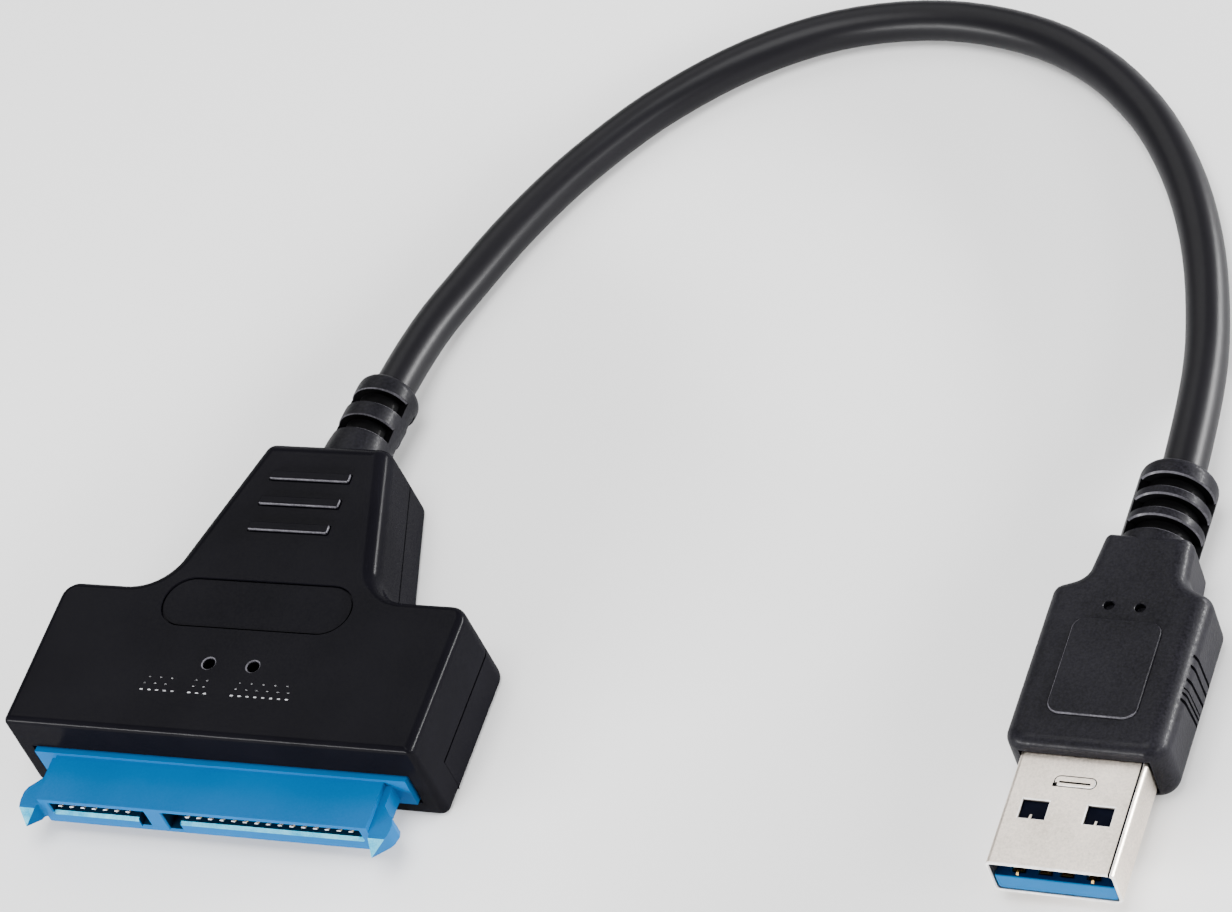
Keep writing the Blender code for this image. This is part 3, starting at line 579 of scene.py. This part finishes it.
headEnd = smoothRoute(route)
plugEnd = [tuple(plugPlace @ Vector((0, v, 0))) for v in (45.5, 41.0, 35.5, 30.0)]
cableLine = evenRoute(smoothRoute(route[1:] + plugEnd), 2.4)
cableLength = sum((b - a).length for a, b in zip(cableLine, cableLine[1:])) * 0.001
rings = []
for i, point in enumerate(cableLine):
    before = cableLine[max(0, i - 1)]
    after = cableLine[min(len(cableLine) - 1, i + 1)]
    rings.append(ringRound(point, (after - before).normalized(), cableRadius, 40))
cable = makePiece("cable_sheath", loft(rings), "sheath")
shade(cable, 60)
wear(cable, "cable_sheath", "cable")
print("cable", round(cableLength * 1000, 1), "mm")

# head housing
head = {
    "width": 45.6, "height": 10.6, "wideDepth": 17.8, "depth": 36.9, "neckRoot": 12.35, "neckTip": 7.15,
    "wall": 1.4, "frontWall": 2.9, "draft": 0.3, "rolls": [0.7, 1.0, 1.2, 2.1, 2.2, 2.1, 1.2, 1.0],
    "collar": 3.2, "seam": 4.45, "seamGap": 0.22, "footRoll": 0.6, "backCorner": 2.2,
    "bars": [31.6, 28.4, 25.15], "barSize": (8.9, 1.0), "barRise": 0.33,
    "panel": (-10.5, 10.5, 12.6, 18.6), "panelDepth": 0.12, "line": 0.2, "lineDepth": 0.22,
    "lamps": [(-2.45, 8.4), (2.45, 8.4)], "lampRadius": 0.66,
    # rows of dashes: y, depth, then where each group starts, its count, its step and a dash's width
    "marks": [(4.75, 0.15, [(-8.7, 5, 0.86, 0.36), (-3.4, 3, 0.86, 0.36), (1.3, 8, 0.86, 0.36)]),
              (5.55, 0.1, [(-8.6, 3, 1.15, 0.3), (-3.2, 2, 1.15, 0.3), (1.5, 6, 1.15, 0.3)]),
              (6.3, 0.1, [(-8.3, 3, 1.25, 0.26), (-3.1, 2, 1.2, 0.26), (1.7, 5, 1.3, 0.26)])],
}


def headCorners(front, corner):
    half = head["width"] / 2
    return [(-half, front, corner), (half, front, corner), (half, head["wideDepth"], head["backCorner"]),
            (head["neckRoot"], head["wideDepth"], 4.5), (head["neckTip"], head["depth"], 1.8),
            (-head["neckTip"], head["depth"], 1.8), (-head["neckRoot"], head["wideDepth"], 4.5),
            (-half, head["wideDepth"], head["backCorner"])]


def lean(z, extra=0.0, front=0.0):
    amount = head["draft"] * z / head["height"] + extra
    return [front] + [amount] * 7


def barShape(y):
    half = head["barSize"][0] / 2
    deep = head["barSize"][1] / 2
    top = head["height"] + head["barRise"]
    corners = boxCorners(-half, half, y - deep, y + deep, 0.15)
    rings = [levelRing(corners, [0.0] * 4, head["height"] - 0.3, 3)]
    rings += [edgeRing(corners, [0.14] * 4, share, top, 1, [0.0] * 4, 3) for share in (0, 0.35, 0.7, 1)]
    return loft(rings)


def boxCorners(x0, x1, y0, y1, radius):
    return [(x0, y0, radius), (x1, y0, radius), (x1, y1, radius), (x0, y1, radius)]


def lineAround(corners, width, low, high):
    # a closed channel just inside an outline
    none = [0.0] * len(corners)
    inner = [width] * len(corners)
    return loft([levelRing(corners, none, low, 8), levelRing(corners, none, high, 8),
                 levelRing(corners, inner, high, 8), levelRing(corners, inner, low, 8)], closed=True)


def makeUpperHousing():
    corners = headCorners(0.0, 0.8)
    top = head["height"]
    wall = head["wall"]
    rings = [edgeRing(corners, head["rolls"], 1 - k / 9, top, 1, lean(top)) for k in range(10)]
    rings.append(levelRing(corners, lean(5.0), 5.0))
    rings.append(levelRing(corners, lean(0.8), 0.8))
    rings.append(levelRing(corners, [0.1] * 8, 0.4))
    rings.append(levelRing(corners, [0.35] * 8, 0.12))
    rings.append(levelRing(corners, [0.8] * 8, 0.0))
    rings.append(levelRing(corners, lean(0.0, wall, head["frontWall"]), 0.0))
    rings.append(levelRing(corners, lean(8.2, wall, head["frontWall"]), top - wall - 1.0))
    rings.append(levelRing(corners, lean(9.2, wall + 1.0, head["frontWall"]), top - wall))
    made = makePiece("head_upper_housing", loft(rings), "housing")
    weld(made, several([barShape(y) for y in head["bars"]]))
    seam = head["seam"] + head["seamGap"] / 2
    behind = block(-40, 40, head["collar"], 60, -3, seam)
    opening = block(-20.74, 20.74, -2, head["collar"] + 1, 2.1, 6.45)
    hole = loft([ringRound((0, y, cableHeight), Vector((0, 1, 0)), 3.2) for y in (32.0, 39.0)])
    frameLine = boxCorners(*head["panel"], 2.95)
    depth = top - head["panelDepth"]
    panel = loft([levelRing(frameLine, [0.1] * 4, depth), levelRing(frameLine, [0.04] * 4, top - 0.05),
                  levelRing(frameLine, [-0.04] * 4, top + 0.02),
                  levelRing(frameLine, [-0.12] * 4, top + 0.2)])
    lines = [lineAround(frameLine, head["line"], depth - head["lineDepth"], top)]
    half, deep = head["barSize"][0] / 2, head["barSize"][1] / 2
    for y in head["bars"]:
        foot = boxCorners(-half - 0.12, half + 0.12, y - deep - 0.12, y + deep + 0.12, 0.2)
        lines.append(lineAround(foot, 0.13, top - 0.18, top + 0.1))
    lamps = [drum(x, y, [(top - 3, head["lampRadius"]), (top - 0.1, head["lampRadius"]),
                         (top + 0.1, head["lampRadius"] + 0.24), (top + 0.4, head["lampRadius"] + 0.24)])
             for x, y in head["lamps"]]
    carve(made, behind, opening, hole, panel, several(lamps))
    carve(made, several(lines))

    # painted highlight masks: the near and right edges of the bars, and the lamps' rims
    def barEdge(spot, normal):
        onBar = any(abs(spot.y - y) < deep + 0.02 for y in head["bars"]) and abs(spot.x) < half + 0.02
        return onBar and spot.z > top + 0.12 and (normal.y < -0.25 or normal.x > 0.25)

    def lampEdge(spot, normal):
        near = any(math.hypot(spot.x - x, spot.y - y) < head["lampRadius"] + 0.3 for x, y in head["lamps"])
        return near and spot.z > top - 0.3 and 0.2 < normal.z < 0.95

    paintFaces(made, "rim", lambda spot, normal: barEdge(spot, normal) or lampEdge(spot, normal))
    shade(made)
    return wear(made, "housing", "top_shell")


def makeMarks():
    # rows of plain white dashes in ink
    marks = []
    for y, deep, groups in head["marks"]:
        for x, count, step, wide in groups:
            for k in range(count):
                outline = boxCorners(x + k * step, x + k * step + wide, y, y + deep, deep * 0.4)
                marks.append(loft([levelRing(outline, [0.0] * 4, head["height"] - 0.01, 3),
                                   levelRing(outline, [0.0] * 4, head["height"] + 0.012, 3)]))
    made = makePiece("head_marks", several(marks), "ink")
    shade(made)
    return wear(made, "housing")


def makeLowerHousing():
    corners = headCorners(head["collar"] + 0.02, 0.1)
    feet = [0.1] + [head["footRoll"]] * 7
    wall = head["wall"]
    seam = head["seam"] - head["seamGap"] / 2
    rings = [edgeRing(corners, feet, 1 - k / 5, 0.0, -1, [0.0] * 8) for k in range(6)]
    rings.append(levelRing(corners, lean(seam), seam))
    rings.append(levelRing(corners, lean(seam, wall, wall), seam))
    rings.append(levelRing(corners, lean(3.25, wall, wall), 3.25))
    shelf = lean(3.25, wall + 1.2, wall + 1.2)
    shelf[4] = wall + 0.05
    rings.append(levelRing(corners, shelf, 3.24))
    rings.append(levelRing(corners, shelf, wall))
    made = makePiece("head_lower_housing", loft(rings), "housing")
    lip = block(-21.35, 21.35, 2, 5.35, 2.0, 8)
    hole = loft([ringRound((0, y, cableHeight), Vector((0, 1, 0)), 3.2) for y in (32.0, 39.0)])
    carve(made, lip, hole)
    shade(made)
    return wear(made, "housing", "bottom_shell")


makeUpperHousing()
makeLowerHousing()
makeMarks()
print("head housing made")

# drive connector
connector = {
    "flange": (20.44, -0.44, 4.0, 2.4, 6.15), "body": (18.07, -5.74, 2.2, 5.8), "edge": 0.14,
    "slotReach": 17.04, "roof": 5.17, "ledge": 3.75, "pitch": 1.27, "channel": 0.475,
    "signal": (-16.12, 7), "power": (-1.9, 15), "lip": 0.36,
    "tips": [(-4.72, 4.66), (-4.92, 4.42), (-5.12, 4.3), (-5.3, 4.33), (-5.44, 4.5)],
}


def armShape(side):
    stations = [(0.2, 17.6, 18.8, 3.0, 18.8), (-2.7, 17.6, 18.8, 3.0, 18.8), (-3.35, 17.6, 19.35, 3.0, 19.4),
                (-4.0, 17.6, 20.02, 3.0, 20.08), (-4.6, 17.6, 20.28, 3.0, 20.26),
                (-5.45, 17.6, 20.27, 3.0, 20.05), (-5.95, 18.25, 20.2, 3.1, 19.8),
                (-6.38, 18.3, 20.08, 3.25, 19.5)]
    points = []
    for y, inner, outer, floor, foot in stations:
        points += [(side * inner, y, floor), (side * foot, y, floor)]
        points += [(side * outer, y, 5.23), (side * inner, y, 5.23)]
    faces = [(0, 1, 2, 3)]
    for k in range(len(stations) - 1):
        for i in range(4):
            j = (i + 1) % 4
            faces.append((4 * k + i, 4 * k + j, 4 * k + 4 + j, 4 * k + 4 + i))
    last = 4 * (len(stations) - 1)
    points.append((side * 18.96, -8.0, 4.29))
    faces += [(last + i, last + (i + 1) % 4, last + 4) for i in range(4)]
    return points, faces


def slotShape(outline, flare):
    # the slot runs back from the front face and widens a little at its mouth
    front = connector["body"][1]
    high = max(p[1] for p in outline)
    left = min(p[0] for p in outline)
    right = max(p[0] for p in outline)

    def wide(amount):
        made = []
        for x, z in outline:
            dx = -amount if x == left else amount if x == right else 0.0
            dz = amount if z == high else -amount
            made.append((x + dx, z + dz))
        return made

    stations = [(0.3, 0.0), (front + flare, 0.0), (front - 0.02, flare + 0.02), (front - 1.0, flare + 0.02)]
    return loft([[(x, y, z) for x, z in wide(amount)] for y, amount in stations])


def makeConnector():
    wide, front, back, low, high = connector["flange"]
    made = makePiece("drive_connector_housing", block(-wide, wide, front, back, low, high), "blue")
    wide, front, low, high = connector["body"]
    weld(made, block(-wide, wide, front, 1.0, low, high), armShape(-1), armShape(1))
    soften(made, connector["edge"], 2, 25)
    reach, roof, ledge = connector["slotReach"], connector["roof"], connector["ledge"]
    signal = [(-reach, ledge), (-7.5, ledge), (-7.5, 2.8), (-6.4, 2.8), (-6.4, roof), (-reach, roof)]
    power = [(-4.4, 2.6), (-2.9, 2.6), (-2.9, ledge), (reach, ledge), (reach, roof), (-4.4, roof)]
    carve(made, slotShape(signal, 0.14), slotShape(power, 0.14))
    channels = []
    for start, count in (connector["signal"], connector["power"]):
        for k in range(count):
            x = start + connector["pitch"] * k
            channels.append(block(x - connector["channel"], x + connector["channel"], -5.2, 6.0, 4.6, 5.4))
    carve(made, several(channels))
    lip = connector["lip"]
    drop = ledge - lip * 0.85
    edge = [(front + lip, ledge + 0.02), (front - 0.02, drop), (front - 0.6, drop),
            (front - 0.6, ledge + 0.02)]
    spans = ((-reach, -7.52), (-2.88, reach))
    carve(made, *[loft([[(x, y, z) for y, z in edge] for x in span]) for span in spans])
    # the faces inside the slots get the painted shade finish
    made.data.materials.append(finishes["shade"])
    made.data.materials.append(finishes["paintedHighlightBlue"])
    for face in made.data.polygons:
        x, y, z = face.center * 1000
        y += middleY
        onFlange = abs(y - connector["flange"][1]) < 0.05
        if front + 0.3 < y < 0.4 and 2.5 < z < 5.5 and abs(x) < reach + 0.1 and not onFlange:
            face.material_index = 1
        # painted highlight on the ledge's front chamfer and on the arms' upward front facets
        if front - 0.05 < y < front + lip and ledge - 0.4 < z < ledge + 0.01 and 0.3 < face.normal.z < 0.95:
            face.material_index = 2
        if y < -6.5 and face.normal.z > 0.35:
            face.material_index = 2
    shade(made, 28)
    wear(made, "connector_blue", "sata_connector")
    tips = []
    for start, count in (connector["signal"], connector["power"]):
        places = [start + connector["pitch"] * k for k in range(count)]
        tips += [ribbonShape(connector["tips"], 0.42, 0.12, x) for x in places]
    bright = makePiece("drive_contact_tips", several(tips), "tin")
    shade(bright)
    wear(bright, "contact_gold")


makeConnector()
print("drive connector made")

# moulded sleeve at the head
sleeve = {
    "profile": [(33.6, 2.9), (37.2, 2.9), (37.2, 3.3), (37.26, 3.5), (37.4, 3.58), (38.4, 3.54), (39.6, 3.44),
                (40.4, 3.32), (41.0, 3.3), (43.4, 3.3), (45.8, 3.32), (46.4, 3.36), (47.2, 3.38),
                (47.6, 3.33), (47.9, 3.16), (48.05, 2.9), (48.1, 2.7)],
    "slots": [(40.8, 42.45), (44.4, 46.05)], "slotFloor": 2.4, "slotTurn": 14.0, "slotSpan": 146.0,
    "skin": 3.3, "bore": 2.25,
    "stop": (4.5, 33.6, 34.9, 1.8, 7.0),
}


def makeSleeve():
    rings = []
    for y, radius in sleeve["profile"]:
        centre, along = routeAt(headEnd, y)
        rings.append(ringRound(centre, along, radius, 48))
    for y in (48.1, 44.0, 39.5, 33.6):
        centre, along = routeAt(headEnd, y)
        rings.append(ringRound(centre, along, sleeve["bore"], 48))
    made = makePiece("head_sleeve", loft(rings, closed=True), "sleeve")
    half, front, back, low, high = sleeve["stop"]
    weld(made, block(-half, half, front, back, low, high))
    cuts = [loft([ringRound((0, y, cableHeight), Vector((0, 1, 0)), sleeve["bore"], 48) for y in (33.0, 35.5)])]
    for start, end in sleeve["slots"]:
        centre, along = routeAt(headEnd, (start + end) / 2)
        for first in (sleeve["slotTurn"], sleeve["slotTurn"] + 180):
            cuts.append(slotRound(start, end, sleeve["slotFloor"], sleeve["skin"], first,
                                  sleeve["slotSpan"], (centre.x, centre.z)))
    carve(made, *cuts)

    def centreAt(y):
        spot = routeAt(headEnd, y)[0]
        return spot.x, spot.z

    paintSlots(made, sleeve["slots"], sleeve["skin"], centreAt)
    shade(made, 40)
    return wear(made, "sleeve_rubber", "head_strain_relief")


makeSleeve()
print("head sleeve made")

# plug grip
grip = {
    "width": 15.4, "height": 7.7, "front": 12.0, "shoulder": 30.1, "neck": 31.4, "neckHalf": 4.8,
    "neckEnd": 36.4, "rollsTop": [1.3, 1.9, 1.8, 1.6, 1.2, 1.6, 1.8, 1.9],
    "rollsFoot": [1.9, 1.9, 1.8, 1.6, 1.2, 1.6, 1.8, 1.9],
    "panel": (-4.25, 4.25, 15.4, 26.2), "panelRise": 0.2, "slots": (37.1, 39.6, 42.1), "slotWide": 1.45,
    "slotTurn": -11.0, "slotSpan": 151.0, "slotFloor": 2.85, "skin": 3.8, "end": 45.5,
    "dimples": (1.5, 27.8, 0.5, 0.66),
    # the side grooves: where each starts at the top and ends at the foot, and half its width
    "grooves": [(18.8, 19.6, 0.17), (19.5, 20.2, 0.14), (20.05, 20.7, 0.09), (21.0, 21.8, 0.17),
                (22.5, 22.9, 0.17), (23.6, 24.0, 0.17)],
    "grooveSpan": (-2.5, 2.95), "grooveDeep": 0.35,
}


def makeGrip():
    wide = grip["width"] / 2
    corners = [(-wide, grip["front"], 2.0), (wide, grip["front"], 2.0), (wide, grip["shoulder"], 1.3),
               (grip["neckHalf"], grip["neck"], 1.9), (4.3, grip["neckEnd"], 0.8),
               (-4.3, grip["neckEnd"], 0.8), (-grip["neckHalf"], grip["neck"], 1.9),
               (-wide, grip["shoulder"], 1.3)]
    high = grip["height"] / 2
    none = [0.0] * 8
    rings = [edgeRing(corners, grip["rollsTop"], 1 - k / 9, high, 1, none) for k in range(10)]
    rings += [edgeRing(corners, grip["rollsFoot"], k / 9, -high, -1, none) for k in range(10)]
    made = makePiece("plug_grip", loft(rings), "grip", plugPlace)
    along = Vector((0, 1, 0))
    end = grip["end"]
    tail = [(33.0, 3.8), (end - 0.7, 3.8), (end - 0.35, 3.72), (end - 0.12, 3.55), (end, 3.25)]
    sleeveShape = loft([ringRound((0, v, 0), along, radius, 48) for v, radius in tail])
    line = boxCorners(*grip["panel"], 1.3)
    top = high + grip["panelRise"]
    shares = (0, 0.25, 0.5, 0.75, 1)
    panel = loft([levelRing(line, [0.0] * 4, high - 0.4)]
                 + [edgeRing(line, [0.17] * 4, share, top, 1, [0.0] * 4) for share in shares])
    x0, x1, y0, y1 = grip["panel"]
    ditch = 0.07
    outside = boxCorners(x0 - ditch, x1 + ditch, y0 - ditch, y1 + ditch, 1.4)
    moat = lineAround(outside, ditch, high - 0.12, high + 0.02)
    weld(made, sleeveShape, panel, place=plugPlace)
    cavity = block(-6.15, 6.15, 10, 18.6, -2.4, 2.4)
    mould = block(-4.8, 4.8, 18.0, 30.0, -2.9, 2.9)
    bore = loft([ringRound((0, v, 0), along, 2.25, 48) for v in (29.0, 50.0)])
    slots = []
    for v in grip["slots"]:
        for first in (grip["slotTurn"], grip["slotTurn"] + 180):
            slots.append(slotRound(v, v + grip["slotWide"], grip["slotFloor"], grip["skin"], first,
                                   grip["slotSpan"]))
    across, back, small, large = grip["dimples"]
    levels = [(high - 0.7, small), (high - 0.06, small + 0.02), (high + 0.1, large), (high + 1, large)]
    dimples = [drum(side * across, back, levels, 24) for side in (-1, 1)]
    grooves = []
    low, upper = grip["grooveSpan"]
    for top, foot, half in grip["grooves"]:
        for side in (-1, 1):
            near, far = sorted((side * (wide - grip["grooveDeep"]), side * (wide + 1)))
            ends = ((foot, low), (top, upper))
            grooves.append(loft([[(near, v - half, w), (far, v - half, w), (far, v + half, w),
                                  (near, v + half, w)] for v, w in ends]))
    marks = [several(slots), several(dimples), several(grooves)]
    carve(made, cavity, mould, bore, *marks, moat, place=plugPlace)
    spans = [(v, v + grip["slotWide"]) for v in grip["slots"]]
    paintSlots(made, spans, grip["skin"], lambda v: (0.0, 0.0), plugPlace)

    # painted highlight mask: the near and left edges of the raised pad
    def padEdge(spot, normal):
        return spot.z > high + 0.03 and 0.15 < normal.z < 0.93 and (normal.y < -0.3 or normal.x < -0.3)

    paintFaces(made, "rim", padEdge, plugPlace)
    shade(made)
    return wear(made, "grip_rubber", "plug_overmould")


makeGrip()
print("plug grip made")

# plug shell, tongue and contacts
shell = {
    "width": 12.0, "height": 4.5, "sheet": 0.3, "length": 18.3, "corner": 0.62,
    "windows": [(-3.05, 5.1, 7.1), (3.05, 5.1, 7.1)], "windowHalf": 1.25, "windowEdge": 0.17,
    "seam": (5.46, 5.62), "seamDepth": 0.24, "lance": (1.9, 8.8, 9.85),
}


def makeShell():
    half = shell["width"] / 2
    tall = shell["height"] / 2
    outline = boxCorners(-half, half, -tall, tall, shell["corner"])

    def section(v, inset):
        return [(p[0], v, p[1]) for p in roundOutline(outline, [inset] * 4, 6)]

    rings = [section(0.16, 0.0), section(9.0, 0.0), section(shell["length"], 0.0),
             section(shell["length"], shell["sheet"]), section(9.0, shell["sheet"]),
             section(0.12, shell["sheet"]), section(0.0, 0.2), section(0.03, 0.08)]
    made = makePiece("plug_shell_metal", loft(rings, closed=True), "nickel", plugPlace)
    reach = shell["windowHalf"]
    edge = shell["windowEdge"]
    cuts = []
    for u, start, end in shell["windows"]:
        cuts.append(block(u - reach, u + reach, start, end, tall - 0.5, tall - 0.05))
        cuts.append(block(u - reach, u + reach, start, end, tall - 0.1, tall + 0.07, edge))
        cuts.append(block(u - reach, u + reach, start, end, -tall - 1, -tall + 0.5))
    left, right = shell["seam"]
    low = tall - shell["seamDepth"]
    cuts.append(loft([[(left, v, low), (right, v, low), (right, v, tall - 0.08),
                       (right + 0.16, v, tall + 0.02), (right + 0.16, v, tall + 1), (left, v, tall + 1)]
                      for v in (-1, 12.5)]))
    carve(made, *cuts, place=plugPlace)
    half, near, far = shell["lance"]
    rim = boxCorners(-half, half, near, far, 0.5)
    raised = loft([levelRing(rim, [0.0] * 4, tall - 0.2)]
                  + [edgeRing(rim, [0.1] * 4, share, tall + 0.09, 1, [0.0] * 4)
                     for share in (0, 0.35, 0.7, 1)])
    weld(made, raised, place=plugPlace)
    outside = boxCorners(-half - 0.1, half + 0.1, near - 0.1, far + 0.1, 0.6)
    moat = lineAround(outside, 0.1, tall - 0.15, tall + 0.02)
    slit = block(-half + 0.45, half - 0.45, near + 0.3, near + 0.46, tall - 0.15, tall + 0.2, 0.03)
    notch = block(-half - 0.15, -half + 0.3, near - 0.1, near + 0.3, tall - 0.18, tall + 0.3)
    carve(made, moat, slit, notch, place=plugPlace)

    # painted shade mask: the inside of the seam and the moat round the lance
    def deep(spot, normal):
        inSeam = left - 0.02 < spot.x < right + 0.02 and low - 0.02 < spot.z < tall - 0.03 and spot.y < 12.6
        nearLance = abs(spot.x) < half + 0.2 and near - 0.2 < spot.y < far + 0.2
        return inSeam or nearLance and tall - 0.2 < spot.z < tall - 0.02

    # painted highlight mask: the window edges, the seam's edge, the lance and the shell's front rim
    def bright(spot, normal):
        atWindow = any(abs(spot.x - u) < reach + edge + 0.05 and start - 0.25 < spot.y < end + 0.25
                       for u, start, end in shell["windows"])
        seamEdge = right < spot.x < right + 0.2 and spot.z > tall - 0.12 and spot.y < 12.6
        onLance = abs(spot.x) < half + 0.05 and near - 0.05 < spot.y < far + 0.05 and spot.z > tall + 0.01
        sloped = 0.15 < normal.z < 0.97
        return sloped and spot.z > tall - 0.15 and (atWindow or seamEdge or onLance) or spot.y < 0.13

    paintFaces(made, "pitch", deep, plugPlace)
    paintFaces(made, "paintedHighlightWhite", bright, plugPlace)
    shade(made, 30)
    return wear(made, "shell_nickel", "plug_shell")


tongue = {
    "half": 5.62, "front": 0.2, "low": -1.9, "top": 0.0, "step": 12.3, "back": 17.9, "roof": 1.6,
    "blades": (-3.5, -1.0, 1.0, 3.5), "bladeHalf": 0.7, "bladeSpan": (0.75, 7.5),
    "springs": (-4, -2, 0, 2, 4), "springHalf": 0.5, "windowShade": (0.5, 12.0),
}


def makeTongue():
    half, low, top = tongue["half"], tongue["low"], tongue["top"]
    outline = [(-half, low, 0.45), (half, low, 0.45), (half, top, 0.12), (-half, top, 0.12)]

    def section(v, inset):
        return [(p[0], v, p[1]) for p in roundOutline(outline, [inset] * 4, 5)]

    front = tongue["front"]
    rings = [section(front, 0.14), section(front + 0.04, 0.05), section(front + 0.14, 0.0),
             section(12.6, 0.0)]
    made = makePiece("plug_tongue", loft(rings), "tongue", plugPlace)
    back = block(-5.4, 5.4, tongue["step"], tongue["back"], -1.65, tongue["roof"])
    weld(made, back, place=plugPlace)
    start, end = tongue["bladeSpan"]
    reach = tongue["bladeHalf"]
    blades = [block(u - reach, u + reach, start, end, top - 0.5, top + 1) for u in tongue["blades"]]
    reach = tongue["springHalf"]
    springs = [block(u - reach, u + reach, 7.9, 19, top - 0.45, top + 0.75) for u in tongue["springs"]]
    carve(made, several(blades), several(springs), place=plugPlace)
    # painted shade on the tongue's top, back from its front edge
    paintFaces(made, "navy", lambda spot, normal: spot.y > front + 0.15 and normal.z > 0.8, plugPlace)
    shade(made, 28)
    return wear(made, "tongue_blue", "plug_insulator")


def makeWindowShadeAndTips():
    # a dark sheet behind the windows as painted shade inside the shell, a bright spring tip in each, and the
    # noses of the two long contacts
    tall = shell["height"] / 2
    span = tongue["windowShade"]
    sheet = block(-5.6, 5.6, span[0], span[1], tall - 0.78, tall - 0.46)
    windowShade = makePiece("plug_window_painted_shade", sheet, "windowShade", plugPlace)
    soften(windowShade, 0.06, 1)
    shade(windowShade)
    wear(windowShade, "tongue_blue")
    tips = []
    for u, start, _ in shell["windows"]:
        line = [(start - 0.5, tall - 0.36), (start + 0.12, tall - 0.3), (start + 0.62, tall - 0.42)]
        tips.append(ribbonShape(line, 0.2, 0.1, u - 0.2))
    springs = makePiece("plug_shell_springs", several(tips), "nickel", plugPlace)
    shade(springs)
    wear(springs, "shell_nickel")
    noses = []
    for u in (tongue["blades"][0], tongue["blades"][-1]):
        line = [(0.48, tongue["top"] - 0.05), (0.54, tongue["top"] + 0.12), (0.68, tongue["top"] + 0.18),
                (0.86, tongue["top"] + 0.13), (1.0, tongue["top"] + 0.02)]
        noses.append(ribbonShape(line, 0.24, 0.1, u))
    tipped = makePiece("plug_contact_noses", several(noses), "gold", plugPlace)
    shade(tipped)
    wear(tipped, "contact_gold")


makeShell()
makeTongue()
makeWindowShadeAndTips()
print("plug shell and tongue made")

# the solids that stay are given their finishes
kept = {
    "gold": [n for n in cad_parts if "_contact_" in n],
    "board": ["circuit_board"], "chip": ["bridge_chip", "voltage_regulator", "inductor"],
    "tin": ["crystal"],
    "ceramic": [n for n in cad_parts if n.startswith("capacitor")],
    "lamp": ["power_led", "activity_led"], "mould": ["plug_inner_mould"],
    "red": ["power_wire"], "black": ["ground_wire"], "white": ["data_wire_minus"],
    "green": ["data_wire_plus"], "yellow": ["shield_wire"],
}
for finish, names in kept.items():
    for name in names:
        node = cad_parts[name]
        node.data.materials.clear()
        node.data.materials.append(finishes[finish])
print("solids finished")

# the plug's pieces are listed and the cable's points put into metres; nothing more is done with them here
plugPieces = ["plug_grip", "plug_shell_metal", "plug_tongue", "plug_shell_springs", "plug_window_painted_shade",
              "plug_contact_noses", "plug_inner_mould"]
plugPieces += [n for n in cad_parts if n.startswith(("usb_contact", "fast_contact"))]
toRow(cableLine[0])
[toRow(p) for p in cableLine]

# floor, sky and lights
room = {
    "floor": (0.92, 0.92, 0.92), "skyLow": 0.9, "skyHigh": 0.22, "skyBand": (0.06, 0.26),
    "lamps": [
        # name, azimuth and elevation in degrees, distance, width, height, power
        ("overhead", 0.0, 84.0, 0.60, 0.36, 0.36, 4.0),
        ("back left box", -143.3, 46.0, 0.60, 0.46, 0.40, 1.5),
        ("back right strip", 124.0, 8.0, 0.45, 0.40, 0.05, 8.0),
        ("front left strip", -30.0, 14.0, 0.45, 0.40, 0.04, 5.0),
        ("right box", 78.0, 21.0, 0.60, 0.34, 0.10, 1.8),
    ],
    "aim": (0.040, 0.015, 0.0),
}


def makeFloor():
    graph = Graph("floor white")
    cloud = graph.noise(60.0)
    colour = graph.blend(cloud, tuple(c * 0.995 for c in room["floor"]), room["floor"])
    graph.finish(Base_Color=colour, Roughness=0.85)
    graph.shader.inputs["Specular IOR Level"].default_value = 0.1
    mesh = bpy.data.meshes.new("floor")
    reach = 3.0
    corners = [(-reach, -reach, 0), (reach, -reach, 0), (reach, reach, 0), (-reach, reach, 0)]
    mesh.from_pydata(corners, [], [(0, 1, 2, 3)])
    mesh.materials.append(graph.material)
    floor = bpy.data.objects.new("floor", mesh)
    bpy.context.scene.collection.objects.link(floor)


def makeSky():
    # brighter near the horizon than above it
    world = bpy.data.worlds.new("studio")
    world.use_nodes = True
    nodes = world.node_tree.nodes
    links = world.node_tree.links
    where = nodes.new("ShaderNodeTexCoord")
    split = nodes.new("ShaderNodeSeparateXYZ")
    links.new(where.outputs["Generated"], split.inputs[0])
    climb = nodes.new("ShaderNodeMapRange")
    climb.interpolation_type = "SMOOTHSTEP"
    links.new(split.outputs["Z"], climb.inputs["Value"])
    low, high = room["skyBand"]
    climb.inputs["From Min"].default_value = low
    climb.inputs["From Max"].default_value = high
    climb.inputs["To Min"].default_value = room["skyLow"]
    climb.inputs["To Max"].default_value = room["skyHigh"]
    links.new(climb.outputs["Result"], nodes["Background"].inputs["Strength"])
    nodes["Background"].inputs["Color"].default_value = (1, 1, 1, 1)
    bpy.context.scene.world = world


def makeLamp(name, azimuth, elevation, distance, width, height, power):
    a = math.radians(azimuth)
    e = math.radians(elevation)
    out = Vector((math.sin(a) * math.cos(e), -math.cos(a) * math.cos(e), math.sin(e)))
    lamp = bpy.data.lights.new(name, "AREA")
    lamp.shape = "RECTANGLE"
    lamp.size = width
    lamp.size_y = height
    lamp.energy = power
    made = bpy.data.objects.new(name, lamp)
    made.location = Vector(room["aim"]) + out * distance
    made.rotation_euler = out.to_track_quat("Z", "Y").to_euler()
    bpy.context.scene.collection.objects.link(made)


makeFloor()
makeSky()
for settings in room["lamps"]:
    makeLamp(*settings)
print("room made")
